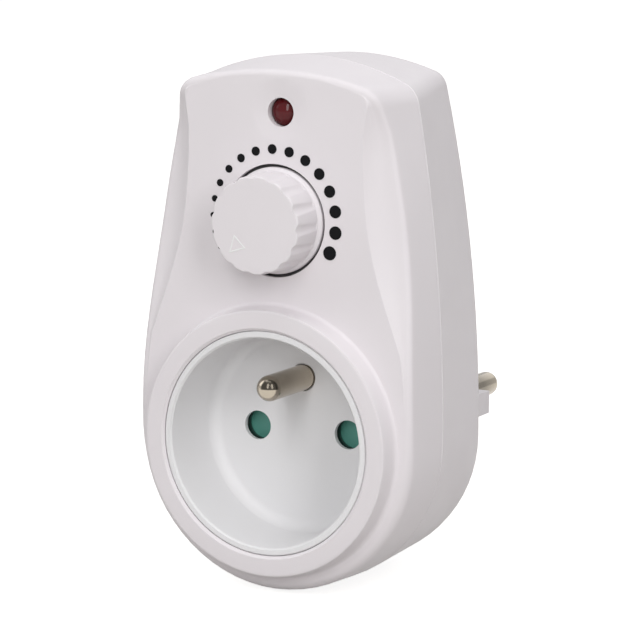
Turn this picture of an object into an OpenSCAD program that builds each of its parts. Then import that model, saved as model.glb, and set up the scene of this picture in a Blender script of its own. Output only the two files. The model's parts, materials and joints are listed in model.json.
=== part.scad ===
// Plug-in dimmer: a wall-plug body with a socket on its front, a dial knob and an indicator lamp.
// The origin is the centre of the plug's end face, midway between the plug pins.
// +Y points to the wall, the front faces -Y and +Z is up. Depths below are measured from the front
// face, with + towards the wall, and row_y() turns them into the part's own Y.

/* [Body] */
// Radius of the rounded bottom at the seam, about the socket axis
bottom_r = 28.75; // [28.2:0.05:30.5]
// Height of the arched top above the socket axis, at the seam
body_top = 70.1; // [68:0.1:74]
// Radius of the long side arcs at the seam
side_r = 341; // [300:1:500]
// Radius of the top arch at the seam
top_r = 49.5; // [45:0.5:80]
// Radius of the two top corners
corner_r = 5; // [4.6:0.1:7]
// Depth of the front cover, front face to seam
front_depth = 12; // [11:0.1:13.5]
// Depth of the rear cover, seam to rear face
rear_depth = 25; // [23:0.5:32]
// Wall thickness of both covers
wall = 2.2; // [1.8:0.1:2.5]
// Rounding of the front edge at the sides and the top
edge_r = 1.2; // [0.8:0.1:1.8]
// Rounding of the front edge under the socket
low_edge_r = 2; // [1.2:0.1:2]
// Rounding of the rear edge
rear_edge_r = 4; // [2.5:0.1:4]

/* [Draft of the covers] */
// How much smaller the bottom radius is at the front edge than at the seam
front_inset = 0.45; // [0.3:0.05:0.6]
// How much lower the top is at the front edge than at the seam
front_top_drop = 1.8; // [0.8:0.1:2.5]
// Radius of the side arcs at the front edge
front_side_r = 270; // [250:1:300]
// Radius of the top arch at the front edge
front_top_r = 67; // [50:1:90]
// How much smaller the bottom radius is at the rear face than at the seam
rear_inset = 3; // [1:0.1:3.4]
// How much lower the top is at the rear face than at the seam
rear_top_drop = 1.1; // [0.5:0.1:2]
// How far the rear face's bottom curve is centred below the socket axis
rear_low = 2.4; // [0:0.1:2.8]
// Radius of the side arcs at the rear face
rear_side_r = 287; // [240:1:340]
// Radius of the top arch at the rear face
rear_top_r = 47; // [42:1:70]
// Radius of the two top corners at the rear face
rear_corner_r = 4.1; // [4:0.1:6]

/* [Front shoulders] */
// Greatest width of the scooped shoulders
shoulder_w = 4.7; // [4:0.1:5.4]
// How far the shoulders fall behind the raised middle
shoulder_drop = 2.9; // [1:0.1:3.2]
// Height at which the shoulders begin to widen
shoulder_low = 16.5; // [12:0.5:18]
// Height over which the shoulders widen and narrow again
shoulder_span = 49; // [46:0.5:50]
// Height at which the shoulders begin to fall
fall_low = 7; // [4:0.5:9]
// Height over which the shoulders fall to their full depth
fall_span = 36; // [28:1:40]
// Height below the top over which the shoulders level out again
level_span = 11; // [8:0.5:14]

/* [Socket] */
// Distance between the two pin holes
pin_pitch = 19; // [18.6:0.1:19.4]
// Radius of a mains pin and of the earth pin
pin_r = 2.4; // [2.2:0.05:2.5]
// Height of the earth pin above the pin holes
earth_rise = 10; // [9.6:0.1:10.6]
// Length of the earth pin in front of the well floor
earth_pin_length = 15.3; // [12:0.1:16]
// Radius of the well at its mouth
well_r = 19.5; // [19.2:0.05:19.9]
// Radius of the well at its floor
well_floor_r = 19.2; // [18.6:0.05:19.2]
// Depth of the well, lip to floor
well_depth = 15.2; // [14.4:0.1:16]
// Rounding between the well's wall and floor
well_fillet = 2.2; // [1:0.1:3]
// How far the lip stands in front of the front face
lip_rise = 3.6; // [2.5:0.1:4]
// Width of the lip ring
lip_width = 1.3; // [1:0.05:1.35]
// Gap between the lip ring and the collar
groove = 0.12; // [0.1:0.02:0.3]
// How far the collar stands in front of the front face
collar_rise = 4; // [3:0.1:5]
// Outer radius of the collar's front
collar_r = 24.8; // [23.6:0.1:25]
// Radius of the pin holes
hole_r = 2.75; // [2.6:0.05:2.9]
// Thickness of the well floor
floor_t = 2; // [1.6:0.1:2.4]
// Thickness of the floor at the rims of the pin holes
hole_rim_t = 0.9; // [0.7:0.1:1.2]
// How much wider the floor opens behind the rims
hole_relief = 0.7; // [0.4:0.1:0.7]
// Gap of the ring recess round the earth pin's foot
seat_gap = 0.2; // [0.15:0.05:0.5]
// Depth of the ring recess in which the earth pin stands
seat_sink = 1; // [0.6:0.1:1.2]

/* [Shutter and contacts] */
// Height of the shutter slider
shutter_h = 6.8; // [6.4:0.1:7.2]
// Thickness of the shutter slider
shutter_t = 2.5; // [2.4:0.1:3]
// Sliding gap round the shutter
slide_gap = 0.3; // [0.15:0.05:0.4]
// How far the shutter slides to open the holes
shutter_travel = 6.6; // [6.2:0.1:6.8]
// Room under the open shutter for the squeezed spring
spring_room = 4.5; // [4.2:0.1:5]
// Turns of the shutter spring
spring_turns = 6; // [5:1:7]
// Radius of the shutter spring's wire
spring_wire_r = 0.2; // [0.15:0.05:0.2]
// Thickness of the contact carrier
carrier_t = 2; // [1.6:0.1:2.6]
// Length of a contact sleeve behind its flange
contact_length = 11.5; // [9:0.5:12]
// Wall of a contact sleeve
contact_wall = 0.65; // [0.5:0.05:0.8]
// Thickness of the straps and contact flanges
strap_t = 0.8; // [0.6:0.1:1]
// Width of the straps
strap_w = 3.2; // [2.4:0.1:3.6]

/* [Plug] */
// Radius of the plug boss
boss_r = 15.5; // [15.2:0.1:16.5]
// Length of the plug boss behind the rear face
boss_depth = 18; // [16:0.5:20]
// Wall of the plug boss
boss_wall = 2.2; // [1.8:0.1:2.3]
// Thickness of the plug's end face
boss_end = 3; // [2.4:0.1:4]
// Reach of the guide ribs from the plug axis
rib_reach = 18.3; // [17:0.1:18.8]
// Height of a guide rib
rib_h = 4.4; // [3:0.1:5]
// Length of the plug pins behind the end face
plug_pin_length = 19; // [18.5:0.1:19.5]
// Radius of the plug pins' roots inside the case
pin_root_r = 2.7; // [2.65:0.05:2.9]

/* [Dial] */
// Height of the dial centre above the socket axis
dial_z = 40.7; // [40.4:0.1:41.4]
// Radius of the knob recess
recess_r = 10.4; // [9.8:0.1:10.6]
// Depth of the knob recess
recess_depth = 1.8; // [1.2:0.1:2.2]
// Gap between the knob skirt and the recess
knob_gap = 0.6; // [0.3:0.05:0.7]
// How far the knob stands in front of the front face
knob_rise = 7.5; // [7:0.1:10]
// Height of the sloping skirt in front of the front face
skirt_rise = 0.4; // [0.3:0.1:1]
// Radius of the grip at the skirt
grip_r = 9.15; // [9.1:0.05:9.4]
// Radius of the grip at its face
grip_face_r = 8.95; // [8.5:0.05:9]
// Number of flutes round the grip
flutes = 15; // [10:1:18]
// Depth of a flute at the knob's face
flute_depth = 0.45; // [0.3:0.05:0.6]
// Depth of a flute at the skirt
flute_end_depth = 0.15; // [0.1:0.05:0.25]
// Radius of a flute's scoop
flute_r = 1.6; // [1.2:0.1:2]
// Width of the pointer triangle's base
pointer_base = 3.6; // [2.5:0.1:4.4]
// Length of the pointer triangle along the dial angle
pointer_length = 3.4; // [2.5:0.1:4.2]
// Height of the pointer triangle on the knob's face
pointer_rise = 0.15; // [0.1:0.05:0.3]
// Dial angle that the pointer shows at rest, clockwise from the top
pointer_angle = -136; // [-142:1:-120]
// Radius of the ring of dots
dot_ring_r = 12.7; // [12.4:0.1:14]
// Height of the printed ring's centre above the dial's axis
dot_lift = 0.4; // [-0.3:0.1:0.5]
// Number of dots
dot_count = 16; // [8:1:16]
// Diameter of the first dot
dot_first_d = 0.88; // [0.6:0.02:1.2]
// How much each dot is wider than the one before it
dot_widen = 0.113; // [0.05:0.001:0.125]
// Dial angle of the first dot, clockwise from the top
dot_start = -118; // [-125:1:-110]
// Angle between the first two dots
dot_step = 13.4; // [12.5:0.1:14]
// How much each step between dots is wider than the one before it
dot_step_widen = 0.31; // [0.2:0.01:0.35]

/* [Indicator] */
// Sideways place of the indicator from the middle
led_x = 1; // [-2:0.1:2]
// Height of the body's top above the indicator
led_drop = 9.6; // [9:0.1:10.2]
// Radius of the indicator lamp
led_r = 2.55; // [2:0.05:2.6]
// Gap between the lamp and its hole
led_gap = 0.1; // [0.1:0.05:0.4]
// Depth of the lamp's tip behind the front face
led_sink = 0.6; // [0.4:0.1:1.1]
// Height of the lamp's dome
led_dome = 1.2; // [0.8:0.1:1.8]
// Diameter of the shallow dish round the hole
dish_d = 12; // [9:0.5:13]
// Depth of the dish
dish_depth = 0.5; // [0.2:0.05:0.8]

/* [Electronics] */
// Thickness of the circuit board
board_t = 1.6; // [1.2:0.1:2]
// Half width of the circuit board at its lower edge
board_half_w = 19; // [18:0.5:20]
// Radius of the potentiometer's body
pot_r = 8.2; // [7.5:0.1:8.4]
// Radius of the potentiometer's shaft
shaft_r = 3; // [2.5:0.1:3]
// Running gap round the shaft
shaft_gap = 0.05; // [0.03:0.01:0.08]
// Turns of the choke winding
choke_turns = 12; // [8:1:13]
// Radius of the choke winding's wire
choke_wire_r = 0.4; // [0.3:0.05:0.45]
// Radius of the fuse's glass tube
fuse_r = 2.3; // [2:0.1:2.4]
// Length of the fuse
fuse_length = 20; // [18:0.5:20]

/* [Screws] */
// Radius of a case screw's shank
case_screw_r = 1.3; // [1.1:0.05:1.5]
// Radius of a case screw's head
case_head_r = 2.5; // [2.2:0.1:2.7]
// Depth of the case screw heads behind the rear face
case_head_sink = 6; // [3:0.5:8]
// Radius of the small screws' shanks
small_screw_r = 1; // [0.8:0.05:1.1]
// Radius of the small screws' heads
small_head_r = 1.9; // [1.6:0.1:2]

/* [Hidden] */
$fn = 64;
// Overlap of a cut past the face it opens
past = 1;
// Clearance of screws, pins and tubes in their holes
fit_gap = 0.05;
// Points on the arcs of half the body outline: bottom, side, corner and top
arc_steps = [16, 14, 8, 8];
// Angles of the rings that round an edge
round_angles = [22.5, 45, 67.5, 90];
// Rings across a shoulder, from the raised middle to the edge, as [share of its width, share of its fall]
shoulder_steps = [[1, 0], [0.95, 0.03], [0.87, 0.18], [0.62, 0.58], [0.3, 0.9], [0, 1]];
// Width of a shoulder where it has no fall
least_shoulder = 0.3;
// Heights between which the front edge takes its larger rounding
low_edge_z = [-6, 4];
// Chamfer of the covers at the seam
seam_edge = 0.2;

// Depths from the front face
seam_y = front_depth;
rear_y = front_depth + rear_depth;
rear_in_y = rear_y - wall;
plug_y = rear_y + boss_depth;
boss_in_y = plug_y - boss_end;
floor_y = well_depth - lip_rise;
floor_back_y = floor_y + floor_t;
shutter_y = floor_back_y + slide_gap;
shutter_back_y = shutter_y + shutter_t;
carrier_y = shutter_back_y + slide_gap;
carrier_back_y = carrier_y + carrier_t;
board_back_y = carrier_back_y;
board_y = board_back_y - board_t;
contact_end_y = carrier_back_y + strap_t + contact_length;
post_end_y = seam_y + 2;

// Radii round the socket axis
insert_r = well_r + lip_width;
bore_r = insert_r + groove;
flange_r = bore_r + 1.4;
flange_t = 2;
flange_seat_y = wall - 0.2;
skirt_r = insert_r - 1.6;

// Radii of the contact sleeves, and of the earth pin's neck and shank behind the well floor
contact_in_r = pin_r + fit_gap;
contact_out_r = contact_in_r + contact_wall;
earth_neck_r = pin_r - 0.2;
earth_shank_r = earth_neck_r - 0.3;

// Body outlines as [bottom radius, side radius, top height, top radius, corner radius,
// height of the bottom curve's centre]
seam_outline = [bottom_r, side_r, body_top, top_r, corner_r, 0];
front_top = body_top - front_top_drop;
front_outline = [bottom_r - front_inset, front_side_r, front_top, front_top_r, corner_r, 0];
rear_outline = [
    bottom_r - rear_inset, rear_side_r, body_top - rear_top_drop, rear_top_r, rear_corner_r, -rear_low
];

// Height at which the shoulders are level again
level_z = front_top - 1.3;

// Places as [x, z]
live_at = [pin_pitch / 2, 0];
neutral_at = [-pin_pitch / 2, 0];
earth_at = [0, earth_rise];
dial_at = [0, dial_z];
led_at = [led_x, body_top - led_drop];
case_post_r = case_head_r + 1.4;
case_posts = [[-10.5, led_at.y - 0.5], [10.5, led_at.y - 0.5], [-16.8, 24.5], [16.8, 24.5]];
board_post_r = small_screw_r + 1.2;
board_posts = [[-14.5, dial_z + 10.5], [14.5, dial_z + 10.5], [-13, dial_z - 9.5], [13, dial_z - 9.5]];
carrier_post_r = small_screw_r + 1.2;
carrier_posts = [[-13.5, 10.5], [13.5, 10.5], [0, -17.2]];
carrier_props = [[-17.5, -2], [17.5, -2], [-10.5, -14], [10.5, -14], [0, 17.3]];
prop_r = 1.8;

function row_y(y) = y - plug_y;

// A cylinder along Y between two depths, at a place [x, z]
module rod(r, y0, y1, at = [0, 0]) {
    translate([at.x, row_y(y0), at.y]) rotate([-90, 0, 0]) cylinder(r = r, h = y1 - y0);
}

// A box between two values on each axis, with its depths from the front face
module slab(x, y, z) {
    translate([x[0], row_y(y[0]), z[0]]) cube([x[1] - x[0], y[1] - y[0], z[1] - z[0]]);
}

// A profile of [radius, depth] turned round an axis along Y
module spun(at = [0, 0]) {
    translate([at.x, row_y(0), at.y]) rotate([-90, 0, 0]) rotate_extrude() children();
}

// A cylinder along X
module cross_rod(r, x0, x1, y, z) {
    translate([x0, row_y(y), z]) rotate([0, 90, 0]) cylinder(r = r, h = x1 - x0);
}

// A pan-head screw along Y: its head sits at a depth and its shank runs to the tip
module screw(at, seat_y, tip_y, shank_r, head_r, head_h) {
    back = seat_y > tip_y;
    cross_w = head_r * 0.3;
    head_y = back ? seat_y : seat_y - head_h;
    slot_y = back ? head_y + head_h * 0.5 : head_y - past;
    difference() {
        union() {
            rod(head_r, head_y, head_y + head_h, at);
            rod(shank_r, min(seat_y, tip_y), max(seat_y, tip_y), at);
        }
        for (turn = [0, 90])
            translate([at.x, 0, at.y]) rotate([0, turn, 0])
                slab([-head_r * 0.6, head_r * 0.6], [slot_y, slot_y + head_h * 0.5 + past],
                    [-cross_w / 2, cross_w / 2]);
    }
}

// Points [x, z, angle of the outward normal] on an arc, without its end
function arc(centre, r, from, to, steps) = [
    for (i = [0 : steps - 1])
        let (a = from + (to - from) * i / steps)
        [centre.x + r * cos(a), centre.y + r * sin(a), a]
];

// The body outline drawn in by an inset: bottom circle, side arcs, round corners and arched top
function outline(shape, inset = 0) =
    let (
        low_r = shape[0] - inset,
        long_r = shape[1] - inset,
        high_r = shape[3] - inset,
        small_r = max(shape[4] - inset, 0.5),
        side_c = [shape[0] - shape[1], shape[5]],
        top_c = [0, shape[2] - shape[3]],
        reach = norm(top_c - side_c),
        along = ((long_r - small_r) ^ 2 - (high_r - small_r) ^ 2 + reach ^ 2) / (2 * reach),
        off = sqrt((long_r - small_r) ^ 2 - along ^ 2),
        ahead = (top_c - side_c) / reach,
        corner_c = side_c + along * ahead + off * [-ahead.y, ahead.x],
        side_end = atan2(corner_c.y - side_c.y, corner_c.x - side_c.x),
        corner_end = atan2(corner_c.y - top_c.y, corner_c.x - top_c.x),
        half = concat(
            arc([0, shape[5]], low_r, -90, 0, arc_steps[0]),
            arc(side_c, long_r, 0, side_end, arc_steps[1]),
            arc(corner_c, small_r, side_end, corner_end, arc_steps[2]),
            arc(top_c, high_r, corner_end, 90, arc_steps[3]),
            [[0, top_c.y + high_r, 90]]
        )
    )
    concat(half, [for (i = [len(half) - 2 : -1 : 1]) [-half[i].x, half[i].y, 180 - half[i].z]]);

// A flat ring of outline points at one depth
function flat_ring(points, y) = [for (p = points) [p.x, row_y(y), p.y]];

// A smooth rise from 0 to 1
function ease(t) = (1 - cos(180 * min(1, max(0, t)))) / 2;

// How far the shoulder has fallen at an outline point
function drop_at(p) =
    shoulder_drop * ease((p.y - fall_low) / fall_span) * ease((level_z - p.y) / level_span);

// Width of the shoulder at an outline point
function shoulder_at(p) =
    let (wave = sin(180 * min(1, max(0, (p.y - shoulder_low) / shoulder_span))))
    norm([least_shoulder, shoulder_w * wave, drop_at(p) * 0.8]);

// Rounding of the front edge at an outline point
function edge_at(p) =
    edge_r + (low_edge_r - edge_r) * ease((low_edge_z[1] - p.y) / (low_edge_z[1] - low_edge_z[0]));

// A ring of the front: shares of each point's shoulder width and fall, then an angle round the edge
function front_ring(width_share, drop_share, angle) = [
    for (p = outline(front_outline))
        let (
            draw = edge_at(p) * (1 - sin(angle)) + shoulder_at(p) * width_share,
            depth = edge_at(p) * (1 - cos(angle)) + drop_at(p) * drop_share
        )
        [p.x - draw * cos(p.z), row_y(depth), p.y - draw * sin(p.z)]
];

// A closed solid through rings of equal length, from front to back, with flat ends
module loft(rings) {
    n = len(rings[0]);
    last = len(rings) - 1;
    mid_z = body_top * 0.3;
    points = concat(
        [for (ring = rings) each ring],
        [[0, rings[0][0].y, mid_z], [0, rings[last][0].y, mid_z]]
    );
    front_mid = n * len(rings);
    back_mid = front_mid + 1;
    faces = concat(
        [for (k = [0 : last - 1], i = [0 : n - 1])
            let (j = (i + 1) % n) each [
                [k * n + i, k * n + j, (k + 1) * n + j],
                [k * n + i, (k + 1) * n + j, (k + 1) * n + i]
            ]],
        [for (i = [0 : n - 1]) [front_mid, (i + 1) % n, i]],
        [for (i = [0 : n - 1]) [back_mid, last * n + i, last * n + (i + 1) % n]]
    );
    polyhedron(points, faces, convexity = 6);
}

// A tube of six sides swept through points on a coil, with its frame pointing away from the coil's core
module coil_tube(points, outward, r) {
    sides = 6;
    n = len(points);
    rings = [
        for (i = [0 : n - 1])
            let (
                ahead = points[min(i + 1, n - 1)] - points[max(i - 1, 0)],
                way = ahead / norm(ahead),
                out_raw = outward[i] - (outward[i] * way) * way,
                out = out_raw / norm(out_raw),
                across = cross(way, out)
            )
            [for (s = [0 : sides - 1])
                points[i] + r * (cos(360 * s / sides) * out + sin(360 * s / sides) * across)]
    ];
    faces = concat(
        [for (k = [0 : n - 2], s = [0 : sides - 1])
            let (t = (s + 1) % sides) each [
                [k * sides + s, (k + 1) * sides + t, k * sides + t],
                [k * sides + s, (k + 1) * sides + s, (k + 1) * sides + t]
            ]],
        [for (s = [1 : sides - 2]) [0, s, s + 1]],
        [for (s = [1 : sides - 2]) let (e = (n - 1) * sides) [e, e + s + 1, e + s]]
    );
    polyhedron([for (ring = rings) each ring], faces, convexity = 10);
}

// Covers

module front_shape() {
    loft(concat(
        [for (step = shoulder_steps) front_ring(step[0], step[1], 0)],
        [for (a = round_angles) front_ring(0, 1, a)],
        [flat_ring(outline(seam_outline), seam_y - seam_edge),
            flat_ring(outline(seam_outline, seam_edge), seam_y)]
    ));
}

module front_hollow() {
    loft([
        flat_ring(outline(front_outline, wall + shoulder_w), wall),
        flat_ring(outline(front_outline, wall), wall + shoulder_drop + edge_r),
        flat_ring(outline(seam_outline, wall), seam_y),
        flat_ring(outline(seam_outline, wall), seam_y + past)
    ]);
}

pocket_back_y = recess_depth + 2.4;
bushing_r = shaft_r + 0.6;

module collar_profile() {
    foot = 1;
    polygon([
        [bore_r - past, wall / 2],
        [bore_r - past, -collar_rise + 0.5],
        [bore_r, -collar_rise + 0.5],
        [bore_r + 0.5, -collar_rise],
        [collar_r - 0.6, -collar_rise],
        [collar_r - 0.15, -collar_rise + 0.2],
        [collar_r, -collar_rise + 0.6],
        [collar_r + 0.3, -foot],
        [collar_r + 0.45, -foot * 0.45],
        [collar_r + 0.7, -foot * 0.12],
        [collar_r + 1, 0],
        [collar_r + 1, wall / 2]
    ]);
}

module front_cover() {
    dish_r = ((dish_d / 2) ^ 2 + dish_depth ^ 2) / (2 * dish_depth);
    color("whitesmoke") difference() {
        union() {
            difference() {
                front_shape();
                front_hollow();
                rod(flange_r + 0.4, flange_seat_y, seam_y + past);
            }
            spun() collar_profile();
            rod(recess_r + wall, wall / 2, pocket_back_y, dial_at);
            for (at = case_posts) rod(case_post_r, wall / 2, post_end_y, at);
            for (at = board_posts) rod(board_post_r, wall / 2, board_y, at);
        }
        rod(bore_r, -collar_rise - past, flange_seat_y + past);
        rod(recess_r, -past, recess_depth, dial_at);
        rod(bushing_r + fit_gap, 0, pocket_back_y + past, dial_at);
        rod(led_r + led_gap, -past, led_back_y - led_rim_t, led_at);
        translate([led_at.x, row_y(dish_depth - dish_r), led_at.y]) sphere(r = dish_r, $fn = 96);
        for (at = case_posts) rod(case_screw_r + fit_gap, wall + 1.5, post_end_y + past, at);
        for (at = board_posts) rod(small_screw_r + fit_gap, board_y - 7, board_y + past, at);
    }
}

module rear_shape() {
    loft(concat(
        [
            flat_ring(outline(seam_outline, seam_edge), seam_y),
            flat_ring(outline(seam_outline), seam_y + seam_edge),
            flat_ring(outline(rear_outline), rear_y - rear_edge_r)
        ],
        [for (a = round_angles)
            flat_ring(outline(rear_outline, rear_edge_r * (1 - cos(a))),
                rear_y - rear_edge_r + rear_edge_r * sin(a))]
    ));
}

module rear_hollow() {
    loft([
        flat_ring(outline(seam_outline, wall), seam_y - past),
        flat_ring(outline(seam_outline, wall), seam_y),
        flat_ring(outline(rear_outline, wall), rear_y - rear_edge_r),
        flat_ring(outline(rear_outline, rear_edge_r), rear_in_y)
    ]);
}

boss_in_r = boss_r - boss_wall;
retainer_t = 2.5;
pin_flange_t = 2;
retainer_back_y = boss_in_y - pin_flange_t;
retainer_y = retainer_back_y - retainer_t;
retainer_post_r = small_screw_r + 1.3;
case_seat_y = rear_y - case_head_sink;

module rear_cover() {
    rib_chamfer = 0.5;
    color("whitesmoke") difference() {
        union() {
            difference() {
                rear_shape();
                rear_hollow();
            }
            spun() polygon([
                [0, rear_in_y], [boss_r, rear_in_y], [boss_r, plug_y - 0.6], [boss_r - 0.6, plug_y],
                [0, plug_y]
            ]);
            for (side = [0, 1]) mirror([side, 0, 0])
                slab([boss_r - boss_wall / 2, rib_reach], [rear_y - wall / 2, plug_y - rib_chamfer],
                    [-rib_h / 2, rib_h / 2]);
            for (at = case_posts) rod(case_post_r, post_end_y, rear_in_y + wall / 2, at);
            for (at = carrier_props) rod(prop_r, carrier_back_y, rear_in_y + wall / 2, at);
        }
        difference() {
            rod(boss_in_r, rear_in_y - past, boss_in_y);
            rod(retainer_post_r, retainer_back_y, boss_in_y + past);
        }
        rod(contact_out_r + 0.4, rear_in_y - past, boss_in_y, earth_at);
        rod(small_screw_r + fit_gap, retainer_back_y - past, plug_y - 1.4);
        for (at = [live_at, neutral_at]) rod(pin_root_r + fit_gap, boss_in_y - past, plug_y + past, at);
        rod(hole_r, boss_in_y - past, plug_y + past, earth_at);
        for (at = case_posts) {
            rod(case_screw_r + 0.3, post_end_y - past, case_seat_y + past, at);
            rod(case_head_r + 0.4, case_seat_y, rear_y + past, at);
        }
    }
}

module case_screws() {
    color("silver") for (at = case_posts)
        screw(at, case_seat_y, wall + 2.5, case_screw_r, case_head_r, 2);
}

// Socket

shutter_half_w = pin_pitch / 2 + hole_r + 0.55;
guide_w = 1.5;
shutter_rest_low = -shutter_h / 2;
spring_low = shutter_rest_low - shutter_travel - spring_room;

module socket_insert() {
    guide_x = shutter_half_w + slide_gap;
    guide_low = shutter_rest_low - shutter_travel - 1.5;
    stop_z = shutter_h / 2 + 0.1;
    seat_z = spring_low - 1.4;
    color("white") difference() {
        union() {
            spun() difference() {
                polygon([
                    [0, floor_y - well_fillet], [well_floor_r - well_fillet, floor_y - well_fillet],
                    [well_floor_r, floor_y - well_fillet], [well_r, -lip_rise + 0.4],
                    [well_r + 0.3, -lip_rise], [insert_r - 0.2, -lip_rise], [insert_r, -lip_rise + 0.2],
                    [insert_r, flange_seat_y], [flange_r, flange_seat_y],
                    [flange_r, flange_seat_y + flange_t], [insert_r, flange_seat_y + flange_t],
                    [insert_r, carrier_y], [skirt_r, carrier_y], [skirt_r, floor_back_y], [0, floor_back_y]
                ]);
                translate([well_floor_r - well_fillet, floor_y - well_fillet]) circle(r = well_fillet);
                translate([-past, floor_y - well_fillet - past])
                    square([well_floor_r - well_fillet + past, well_fillet + past]);
            }
            for (at = carrier_posts) rod(carrier_post_r, floor_y + floor_t / 2, carrier_y, at);
            for (side = [0, 1]) mirror([side, 0, 0])
                slab([guide_x, guide_x + guide_w], [floor_y + floor_t / 2, carrier_y],
                    [guide_low, shutter_h / 2]);
            slab([-4, 4], [floor_y + floor_t / 2, carrier_y], [stop_z, stop_z + 1.6]);
            slab([-2.5, 2.5], [floor_y + floor_t / 2, carrier_y], [seat_z, spring_low]);
        }
        for (at = [live_at, neutral_at]) {
            rod(hole_r, floor_y - past, floor_back_y + past, at);
            rod(hole_r + hole_relief, floor_y + hole_rim_t, floor_back_y + past, at);
        }
        rod(earth_shank_r + fit_gap, floor_y - past, floor_back_y + past, earth_at);
        rod(pin_r + seat_gap, floor_y - past, floor_y + seat_sink, earth_at);
        for (at = carrier_posts) rod(small_screw_r + fit_gap, floor_back_y - 0.8, carrier_y + past, at);
    }
}

// A shouldered pin with a hemispherical tip towards the front, riveted through floor and carrier
module earth_pin() {
    tip_y = floor_y - earth_pin_length;
    tail_y = carrier_back_y + 3;
    tongue_y = tail_y + 8;
    color("silver") union() {
        spun(earth_at) union() {
            translate([0, tip_y + pin_r]) intersection() {
                circle(r = pin_r);
                translate([0, -pin_r]) square([pin_r, pin_r]);
            }
            translate([0, tip_y + pin_r]) square([pin_r, earth_pin_length - pin_r]);
            translate([0, floor_y - past]) square([earth_neck_r, seat_sink + past]);
            translate([0, floor_y - past]) square([earth_shank_r, tail_y - floor_y + past]);
            translate([0, carrier_back_y]) square([pin_r + 1, 1.4]);
        }
        slab([-strap_w / 2, strap_w / 2], [tail_y - past, tongue_y],
            [earth_rise - strap_t, earth_rise]);
    }
}

module shutter() {
    pad_chamfer = 0.8;
    pocket_r = hole_r + 0.25;
    pocket_depth = 0.9;
    color("seagreen") difference() {
        slab([-shutter_half_w, shutter_half_w], [shutter_y, shutter_back_y],
            [shutter_rest_low, shutter_h / 2]);
        translate([0, row_y(shutter_y), shutter_rest_low]) rotate([45, 0, 0])
            cube([2 * shutter_half_w + past, pad_chamfer, pad_chamfer], center = true);
        slab([-pin_pitch / 2 + hole_r + 0.8, pin_pitch / 2 - hole_r - 0.8],
            [shutter_y - past, shutter_y + 0.6], [-shutter_h, shutter_h]);
        for (at = [live_at, neutral_at])
            rod(pocket_r, shutter_y - past, shutter_y + pocket_depth, at);
    }
}

spring_mean_r = shutter_t / 2 - spring_wire_r - 0.15;
spring_mid_y = (shutter_y + shutter_back_y) / 2;
spring_high = shutter_rest_low - spring_wire_r - 0.1;
spring_start = spring_low + spring_wire_r + 0.1;
spring_pitch = (spring_high - spring_start) / spring_turns;

module shutter_spring() {
    steps = 8 * spring_turns;
    outward = [for (i = [0 : steps]) let (a = 45 * i) [cos(a), sin(a), 0]];
    points = [
        for (i = [0 : steps])
            [0, row_y(spring_mid_y), spring_start + spring_pitch * i / 8] + spring_mean_r * outward[i]
    ];
    echo(least_gap_of_the_spring = spring_pitch - 2 * spring_wire_r);
    color("lightgray") coil_tube(points, outward, spring_wire_r);
}

module contact_carrier() {
    color("dimgray") difference() {
        rod(insert_r, carrier_y, carrier_back_y);
        for (at = [live_at, neutral_at]) rod(hole_r, carrier_y - past, carrier_back_y + past, at);
        rod(earth_shank_r + fit_gap, carrier_y - past, carrier_back_y + past, earth_at);
        for (at = carrier_posts) rod(small_screw_r + 0.1, carrier_y - past, carrier_back_y + past, at);
    }
}

module carrier_screws() {
    color("silver") for (at = carrier_posts)
        screw(at, carrier_back_y, floor_back_y - 0.6, small_screw_r, small_head_r, 1.2);
}

// A slit sleeve that grips a mains pin, on a square flange
contact_flange = contact_out_r + 0.9;
tongue_top = contact_out_r + 0.3;

module contact_sleeve(at) {
    slit_w = 0.8;
    difference() {
        union() {
            slab([at.x - contact_flange, at.x + contact_flange],
                [carrier_back_y, carrier_back_y + strap_t], [-contact_flange, contact_flange]);
            rod(contact_out_r, carrier_back_y, contact_end_y, at);
        }
        rod(contact_in_r, carrier_back_y - past, contact_end_y + past, at);
        slab([at.x - slit_w / 2, at.x + slit_w / 2],
            [carrier_back_y + 3, contact_end_y + past], [-contact_out_r - past, 0]);
    }
}

module live_contact() {
    color("goldenrod") contact_sleeve(live_at);
}

neutral_tongue_y = contact_end_y - 4;

module neutral_contact() {
    color("goldenrod") union() {
        contact_sleeve(neutral_at);
        slab([neutral_at.x - strap_w / 2, neutral_at.x + strap_w / 2],
            [neutral_tongue_y, contact_end_y + 2], [contact_in_r + 0.2, tongue_top]);
    }
}

// Straps

strap_end_y = retainer_y - 1.5;
live_rise_y = contact_end_y + 2;
board_low = 22.5;

module neutral_strap() {
    color("goldenrod") slab([neutral_at.x - strap_w / 2, neutral_at.x + strap_w / 2],
        [neutral_tongue_y, strap_end_y], [tongue_top, tongue_top + strap_t]);
}

module live_strap() {
    tab_z = board_low + 2.7;
    x = [live_at.x - strap_w / 2, live_at.x + strap_w / 2];
    color("goldenrod") union() {
        slab(x, [live_rise_y, strap_end_y], [tongue_top, tongue_top + strap_t]);
        slab(x, [live_rise_y, live_rise_y + strap_t], [tongue_top, tab_z + strap_t]);
        slab(x, [board_back_y, live_rise_y + strap_t], [tab_z, tab_z + strap_t]);
    }
}

module load_strap() {
    color("goldenrod") slab([live_at.x - strap_w / 2, live_at.x + strap_w / 2],
        [carrier_back_y, carrier_back_y + strap_t], [contact_flange, board_low + 1.7]);
}

earth_sleeve_y = retainer_y - 5;

module earth_strap() {
    color("goldenrod") slab([-strap_w / 2, strap_w / 2], [carrier_back_y + 5, earth_sleeve_y - 0.4],
        [earth_rise, earth_rise + strap_t]);
}

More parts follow.
